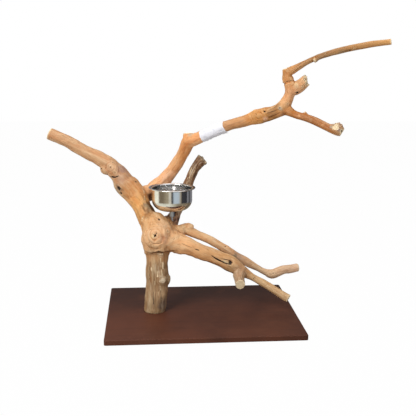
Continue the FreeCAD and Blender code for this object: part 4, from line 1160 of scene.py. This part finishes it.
def tint_patches(points, normals, fields, marks):
    """The painted tint, with the marks' patches on it, some of them painted shade, and the grain turned round
    the knots.
    """
    tint, across, along = fields["tint"].copy(), fields["across"].copy(), fields["along"].copy()
    ragged = 1 + 0.55 * soft_noise(points / 0.009 + 4.4) + 0.14 * with_grain(fields, 0.0045, 0.045, 6.1)
    for place, facing, reach, colour, strength in marks["patches"]:
        near, gap = close_to(points, place, reach * 2 * MM)
        same_side = np.clip((normals[near] @ facing + 0.3) / 0.6, 0, 1)
        spread = np.clip((1.30 - gap * ragged[near] / (reach * MM)) / 0.9, 0, 1)
        share = spread * spread * (3 - 2 * spread) * strength * same_side
        tint[near] += share[:, None] * (np.array(shade(*colour)[:3]) - tint[near])
    for place, facing, reach, _, _, _ in marks["knots"]:
        near, gap = close_to(points, place, reach * 1.4 * MM)
        share = fade(gap, reach * 1.4 * MM)
        across[near] = across[near] * (1 - share[:, None]) + facing * (gap * share)[:, None]
        along[near] *= 1 - share
    return tint, across, along


def hollows(points, normals, edges):
    """How hollow the skin is at each point, about 1 at the bottom of a hollow of HOLLOW_DEPTH."""
    share = neighbour_count(edges, len(points))
    smooth = points
    for _ in range(HOLLOW_ROUNDS):
        smooth = neighbour_mean(smooth, edges, share)
    return np.einsum("ij,ij->i", smooth - points, normals) / HOLLOW_DEPTH


def make_tree(finishes):
    """The whole tree, limb by limb.  Returns the search tree of its carved skin, for the label."""
    skin = tree_skin()
    drop_inner_shells(skin)
    edges = edges_of(skin)
    soften(skin, edges, 3, False)
    soften(skin, edges, FILLET_ROUNDS, True)
    soften(skin, edges, 2, False)
    points, normals = points_of(skin), normals_of(skin)
    fields = follow_hearts(points)
    share = neighbour_count(edges, len(points))
    for _ in range(GRAIN_ROUNDS):
        fields["across"] = neighbour_mean(fields["across"], edges, share)
        fields["tint"] = neighbour_mean(fields["tint"], edges, share)
        fields["along"] = neighbour_mean(fields["along"][:, None] * np.ones(3), edges, share)[:, 0]
    marks = set_out_marks(tree_of(skin))
    scatter_marks(marks, points, normals, fields)
    rise, dark, pale = carve(points, fields, marks)
    points = points + rise[:, None] * normals
    sawn, rings = cut_flat(points, fields, marks)
    put_points(skin, points)
    carved = tree_of(skin)

    normals = normals_of(skin)
    tint, across, along = tint_patches(points, normals, fields, marks)
    paint(skin, "FLOAT_VECTOR", "across", across)
    paint(skin, "FLOAT", "along", along)
    paint(skin, "FLOAT_COLOR", "tint", np.column_stack([tint, np.ones(len(tint))]))
    paint(skin, "FLOAT", "rough", fields["rough"])
    # dark: the wood's own dark marks, and painted shade under the crotch's lip and partly in pits and cracks
    paint(skin, "FLOAT", "dark", np.clip(dark, 0, 1))
    paint(skin, "FLOAT", "pale", np.clip(pale * 0.9 + sawn + fields["sawn"] * 0.9, 0, 1))
    paint(skin, "FLOAT", "rings", rings)
    # hollow drives the painted shade in the wood's hollows and the painted highlight on its rounded parts
    paint(skin, "FLOAT", "hollow", np.clip(hollows(points, normals, edges), -1, 1))
    paint(skin, "INT", "nearest_limb", fields["owner"])

    cut = saw_at_seats(skin)
    nearest_limb = cut.verts.layers.int["nearest_limb"]
    centres = np.array([face.calc_center_median() for face in cut.faces])
    nearest = np.array([face.verts[0][nearest_limb] for face in cut.faces])
    owner = cut.faces.layers.int.new("owner")
    owners = give_back_crumbs(cut, owners_by_seats(centres, nearest))
    for face, number in zip(cut.faces, owners.tolist()):
        face[owner] = number
    for number, limb in enumerate(LIMBS):
        mesh = limb_piece(cut, number, limb)
        kind = WOOD_SLOTS.get(limb, "branch_wood")
        piece = new_piece(f"{limb}_wood", mesh, finishes[kind])
        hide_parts(limb)
        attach(piece, "stand")
    cut.free()
    return carved


# ---------------------------------------------------------------- cup


def arc(centre, radius, start, end, steps):
    """Points (out, up) of an arc, its angles in degrees from level."""
    angles = [math.radians(start + (end - start) * n / steps) for n in range(steps + 1)]
    return [(centre[0] + radius * math.cos(a), centre[1] + radius * math.sin(a)) for a in angles]


def profile_wire(shape, profile, foot):
    """A row of edges in the plane of a turned piece's axis, from points (out, up) in millimetres."""
    row = [shape.verts.new((foot.x + out * MM, foot.y, foot.z + up * MM)) for out, up in profile]
    edges = [shape.edges.new(pair) for pair in zip(row, row[1:])]
    return row, edges


def turned(name, profile, foot, material, steps=96, sharp=0.6):
    """A piece turned about an upright axis through its foot."""
    shape = bmesh.new()
    row, edges = profile_wire(shape, profile, foot)
    bmesh.ops.spin(shape, geom=[*row, *edges], cent=foot, axis=(0, 0, 1), dvec=(0, 0, 0),
                   angle=2 * math.pi, steps=steps, use_merge=True, use_duplicate=False)
    bmesh.ops.remove_doubles(shape, verts=shape.verts, dist=1e-6)
    bmesh.ops.recalc_face_normals(shape, faces=shape.faces)
    return finished(shape, name, material, sharp)


def finished(shape, name, material, sharp):
    """Turn a bmesh into a piece, smooth but for its sharp edges."""
    for face in shape.faces:
        face.smooth = True
    for edge in shape.edges:
        edge.smooth = not (len(edge.link_faces) == 2 and edge.calc_face_angle() > sharp)
    mesh = bpy.data.meshes.new(name)
    shape.to_mesh(mesh)
    shape.free()
    return new_piece(name, mesh, material)


def make_bowl(material):
    """The bowl: straight wall, round bottom, flat rim with a rolled edge."""
    low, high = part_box("cup_bowl")
    foot = Vector(((low.x + high.x) / 2, (low.y + high.y) / 2, low.z))
    deep = (high.z - low.z) / MM
    rim = (high.x - low.x) / MM / 2
    # The body's radius, the sheet's thickness, the radii of the round bottom and of the rim's bead, the
    # flat foot's radius, and the bends from wall to rim outside and inside, all in millimetres.
    body, wall, corner, bead, flat = 55.0, 1.0, 30.0, 1.5, 12
    neck, lip = 2.5, 3.5
    profile = [(0, 0), (flat, 0)]
    profile += arc((body - corner, corner), corner, -90, 0, 18)
    profile += [(body, deep - 8)] + arc((body + neck, deep - wall - neck), neck, 180, 90, 5)
    profile += arc((rim - bead, deep - bead), bead, 200, 450, 12)
    profile += arc((body - wall + lip, deep - lip), lip, 90, 180, 6)
    profile += [(body - wall, deep - 10)]
    profile += arc((body - corner, corner), corner - wall, 0, -90, 18)
    profile += [(flat, wall), (0, wall)]
    bowl = turned("food_bowl", profile, foot, material, 128, 0.7)
    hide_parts("cup_bowl")
    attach(bowl, "cup")


PITCH = 1.27
THREAD_CREST = 3.15
THREAD_DEPTH = 0.62
THREAD_STEPS = 20


def make_rod(material):
    """The threaded rod: one pitch of thread, spun upwards turn by turn."""
    low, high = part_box("cup_rod")
    middle = (low + high) / 2
    turns = int((high.z - low.z) / MM / PITCH) - 1
    foot = Vector((middle.x, middle.y, low.z))
    shape = bmesh.new()
    thread = [(THREAD_CREST - THREAD_DEPTH, 0), (THREAD_CREST, PITCH * 0.42), (THREAD_CREST, PITCH * 0.58),
              (THREAD_CREST - THREAD_DEPTH, PITCH)]
    row, edges = profile_wire(shape, thread, foot)
    bmesh.ops.spin(shape, geom=[*row, *edges], cent=foot, axis=(0, 0, 1),
                   dvec=(0, 0, PITCH * MM / THREAD_STEPS), angle=2 * math.pi * turns,
                   steps=THREAD_STEPS * turns, use_merge=False, use_duplicate=False)
    bmesh.ops.remove_doubles(shape, verts=shape.verts, dist=1e-5)
    bmesh.ops.holes_fill(shape, edges=[edge for edge in shape.edges if edge.is_boundary], sides=0)
    bmesh.ops.recalc_face_normals(shape, faces=shape.faces)
    rod = finished(shape, "cup_rod_thread", material, 0.5)
    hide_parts("cup_rod")
    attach(rod, "stand")


# ---------------------------------------------------------------- label

LABEL_ROWS, LABEL_COLUMNS = 72, 90
LABEL_LIFT, LABEL_THICK = 0.00045, 0.00022
LABEL_WRAP = math.radians(196)
# Millimetres: from the elbow to the strip, its length, and how far its low edge and its low corner lift.
LABEL_START, LABEL_LONG, LOW_EDGE_CRUMPLE, LOW_CORNER_LIFT = 48, 74, 4.0, 4.2
# Where the rays at the carved wood start from its heart line, and where the paper lies if one misses.
RAY_START, HEART_TO_PAPER = 0.05, 0.0155


def make_label(tree, material):
    """A blank paper strip laid on the carved wood, creased, with its lower corner lifted."""
    elbow, past = (ROOTS["upper_limb"] + ring("upper_limb", number)[0] for number in (7, 10))
    way = (past - elbow).normalized()
    start = elbow + way * LABEL_START * MM
    towards = EYE - start
    front = (towards - way * towards.dot(way)).normalized()
    side = way.cross(front)
    shape = bmesh.new()
    bmesh.ops.create_grid(shape, x_segments=LABEL_COLUMNS, y_segments=LABEL_ROWS, size=0.5)
    for vert in shape.verts:
        along = vert.co.x + 0.5
        turn = vert.co.y * LABEL_WRAP
        uneven = 0.9 * MM * noise.noise((turn * 2.1, along * 4.0, 7.7))
        centre = start + way * (along * LABEL_LONG * MM + uneven * (1 - abs(2 * along - 1) * 0.2))
        out = front * math.cos(turn) + side * math.sin(turn)
        heart = nearest_heart(centre)
        hit = tree.ray_cast(heart + out * RAY_START, -out)[0] or heart + out * HEART_TO_PAPER
        crease = 0.32 * MM * abs(noise.noise((along * 9, turn * 3.5, 2.2))) \
            + 0.20 * MM * noise.noise((along * 22, turn * 7.0, 8.8))
        low_corner = max(0.0, along - 0.72) / 0.28 * max(0.0, turn / LABEL_WRAP * 2 - 0.35) / 0.65
        crumple = LOW_EDGE_CRUMPLE * MM * max(0.0, turn / LABEL_WRAP * 2 - 0.62) \
            * (0.6 + noise.noise((along * 13, 4.0, 1.0)))
        lift = LABEL_LIFT + max(crease, 0) + max(crumple, 0) + LOW_CORNER_LIFT * MM * low_corner ** 2
        vert.co = hit + out * lift
    bmesh.ops.recalc_face_normals(shape, faces=shape.faces)
    bmesh.ops.solidify(shape, geom=shape.faces, thickness=-LABEL_THICK)
    label = finished(shape, "paper_strip", material, 1.2)
    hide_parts("paper_label")
    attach(label, "stand")


def nearest_heart(place):
    """The point of the upper limb's heart line beside a place."""
    best = None
    for run in RUNS:
        if run.flow != "upper_limb":
            continue
        start, line = Vector(run.start), Vector(run.line)
        share = min(max((place - start).dot(line) / line.length_squared, 0), 1)
        spot = start + line * share
        if best is None or (spot - place).length < (best - place).length:
            best = spot
    return best


# ---------------------------------------------------------------- studio


# Upright bands of the room, as the cup shows them: the share of the way round, and the colour there.
CREAM, PALE, BLUE, GREY = (0.95, 0.93, 0.76), (0.62, 0.58, 0.48), (0.46, 0.54, 0.60), (0.27, 0.27, 0.29)
DARK, BROWN, TAN = (0.02, 0.02, 0.025), (0.18, 0.135, 0.08), (0.34, 0.28, 0.18)
ROOM_BANDS = [(0.00, CREAM), (0.012, CREAM), (0.035, BROWN), (0.10, BROWN), (0.16, TAN), (0.185, TAN),
              (0.20, PALE), (0.228, PALE), (0.24, DARK), (0.254, DARK), (0.275, BLUE), (0.345, BLUE),
              (0.385, TAN), (0.40, DARK), (0.50, DARK), (0.52, GREY), (0.56, DARK), (0.64, GREY),
              (0.70, DARK), (0.78, GREY), (0.90, DARK), (0.94, CREAM)]
CEILING = (0.42, 0.42, 0.40, 1.0)
# The same for the floor close to the stand, which the cup's round bottom shows: pale to the left, brown to
# the right.
FLOOR_BANDS = [(0.00, CREAM), (0.20, CREAM), (0.34, TAN), (0.60, BROWN), (0.75, TAN), (0.90, CREAM)]


def band_stops(room, low, high):
    return [(place, tuple(low + part * (high - low) for part in colour) + (1.0,)) for place, colour in room]


# How white the floor is to the camera; and how far from the cup its near bands end and the room's begin.
FLOOR_WHITE, FLOOR_NEAR, FLOOR_FAR = 0.985, 0.75, 1.10
LAMPS_AIM_AT = (0, 0, 0.35)


def floor_finish(cup_middle):
    """A white floor: near white to the camera, banded in steel, and still taking the shadow."""
    material = bpy.data.materials.new("pale_floor")
    material.use_nodes = True
    nodes = Nodes(material.node_tree)
    camera = nodes.add("ShaderNodeLightPath", {}, {}, 0)
    glossy = nodes.add("ShaderNodeLightPath", {}, {}, 3)
    matt = nodes.add("ShaderNodeBsdfDiffuse", {}, {"Color": (0.60, 0.60, 0.60, 1)})
    glow = nodes.add("ShaderNodeEmission", {}, {"Strength": 1.0})
    round_cup = nodes.add("ShaderNodeVectorMath", {"operation": "SUBTRACT"},
                          {0: nodes.place(), 1: cup_middle})
    far_off = nodes.add("ShaderNodeVectorMath", {"operation": "LENGTH"}, {0: round_cup}, 1)
    close_by = nodes.bands(round_cup, band_stops(FLOOR_BANDS, 0.02, 0.85))
    further = nodes.bands(round_cup, band_stops(ROOM_BANDS, 0.02, 1.1))
    bands = nodes.colour(nodes.between(far_off, FLOOR_NEAR, FLOOR_FAR), close_by, further)
    room = nodes.add("ShaderNodeEmission", {}, {"Color": bands})
    seen = nodes.add("ShaderNodeMixShader", {}, {0: camera * FLOOR_WHITE, 1: matt, 2: glow})
    surface = nodes.add("ShaderNodeMixShader", {}, {0: glossy, 1: seen, 2: room})
    nodes.add("ShaderNodeOutputMaterial", {}, {"Surface": surface})
    return material


def light_world():
    """Soft room light, white behind the object, and bands for the steel to show."""
    world = bpy.data.worlds.new("studio")
    bpy.context.scene.world = world
    world.use_nodes = True
    nodes = Nodes(world.node_tree)
    camera = nodes.add("ShaderNodeLightPath", {}, {}, 0)
    glossy = nodes.add("ShaderNodeLightPath", {}, {}, 3)
    direction = nodes.add("ShaderNodeTexCoord", {}, {}, 0)
    soft = nodes.add("ShaderNodeBackground", {}, {"Color": (1.0, 0.99, 0.97, 1), "Strength": 0.33})
    upward = nodes.add("ShaderNodeSeparateXYZ", {}, {0: direction}, 2)
    bands = nodes.bands(direction, band_stops(ROOM_BANDS, 0.02, 1.1))
    walls = nodes.colour(nodes.between(upward, 0.30, 0.75), bands, CEILING)
    room = nodes.add("ShaderNodeBackground", {}, {"Color": walls})
    white = nodes.add("ShaderNodeBackground", {}, {"Color": (1, 1, 1, 1), "Strength": 1.0})
    unseen = nodes.add("ShaderNodeMixShader", {}, {0: glossy, 1: soft, 2: room})
    backdrop = nodes.add("ShaderNodeMixShader", {}, {0: camera, 1: unseen, 2: white})
    nodes.add("ShaderNodeOutputWorld", {}, {"Surface": backdrop})


def add_lamp(name, place, size, power):
    data = bpy.data.lights.new(name, "AREA")
    data.size = size
    data.energy = power
    lamp = bpy.data.objects.new(name, data)
    lamp.location = place
    lamp.rotation_euler = (Vector(LAMPS_AIM_AT) - lamp.location).to_track_quat("-Z", "Y").to_euler()
    bpy.context.scene.collection.objects.link(lamp)


def make_studio():
    low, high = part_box("cup_rod")
    shape = bmesh.new()
    bmesh.ops.create_grid(shape, x_segments=1, y_segments=1, size=6.0)
    mesh = bpy.data.meshes.new("floor")
    shape.to_mesh(mesh)
    shape.free()
    floor = new_piece("floor", mesh, floor_finish((low + high) / 2))
    light_world()
    add_lamp("key", (-1.5, -1.7, 2.1), 1.2, 58.0)
    add_lamp("fill", (1.9, -1.7, 1.1), 1.6, 7.0)
    add_lamp("top", (0.1, 0.2, 2.6), 2.4, 26.0)
    bpy.context.scene.view_settings.view_transform = "Standard"


# ---------------------------------------------------------------- assembly


def set_finish(nodes_named, material):
    """Give the CAD model's own pieces their finish."""
    for name in nodes_named:
        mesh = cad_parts[name].data
        mesh.materials.clear()
        mesh.materials.append(material)


make_camera()
polished = finish("polished_steel", steel_nodes((0.80, 0.80, 0.80, 1), 0.10, 0.3), Metallic=1.0)
plated = finish("plated_steel", steel_nodes((0.66, 0.66, 0.68, 1), 0.22, 0.5), Metallic=1.0)
carved = make_tree({kind: wood_finish(kind) for kind in ("branch_wood", "trunk_wood", "bark_wood")})
make_bowl(polished)
make_rod(plated)
make_label(carved, finish("label_paper", paper_nodes))
set_finish(["base_board"], finish("satin_brown_board", board_nodes, **{"Specular IOR Level": 0.2}))
set_finish(["lag_screw", "lag_washer", "side_screws", "coupling_nut", "cup_washer", "cup_stud"], plated)
set_finish([f"{limb}_dowel" for limb in CARRIED], finish("turned_dowel_wood", dowel_nodes))
make_studio()
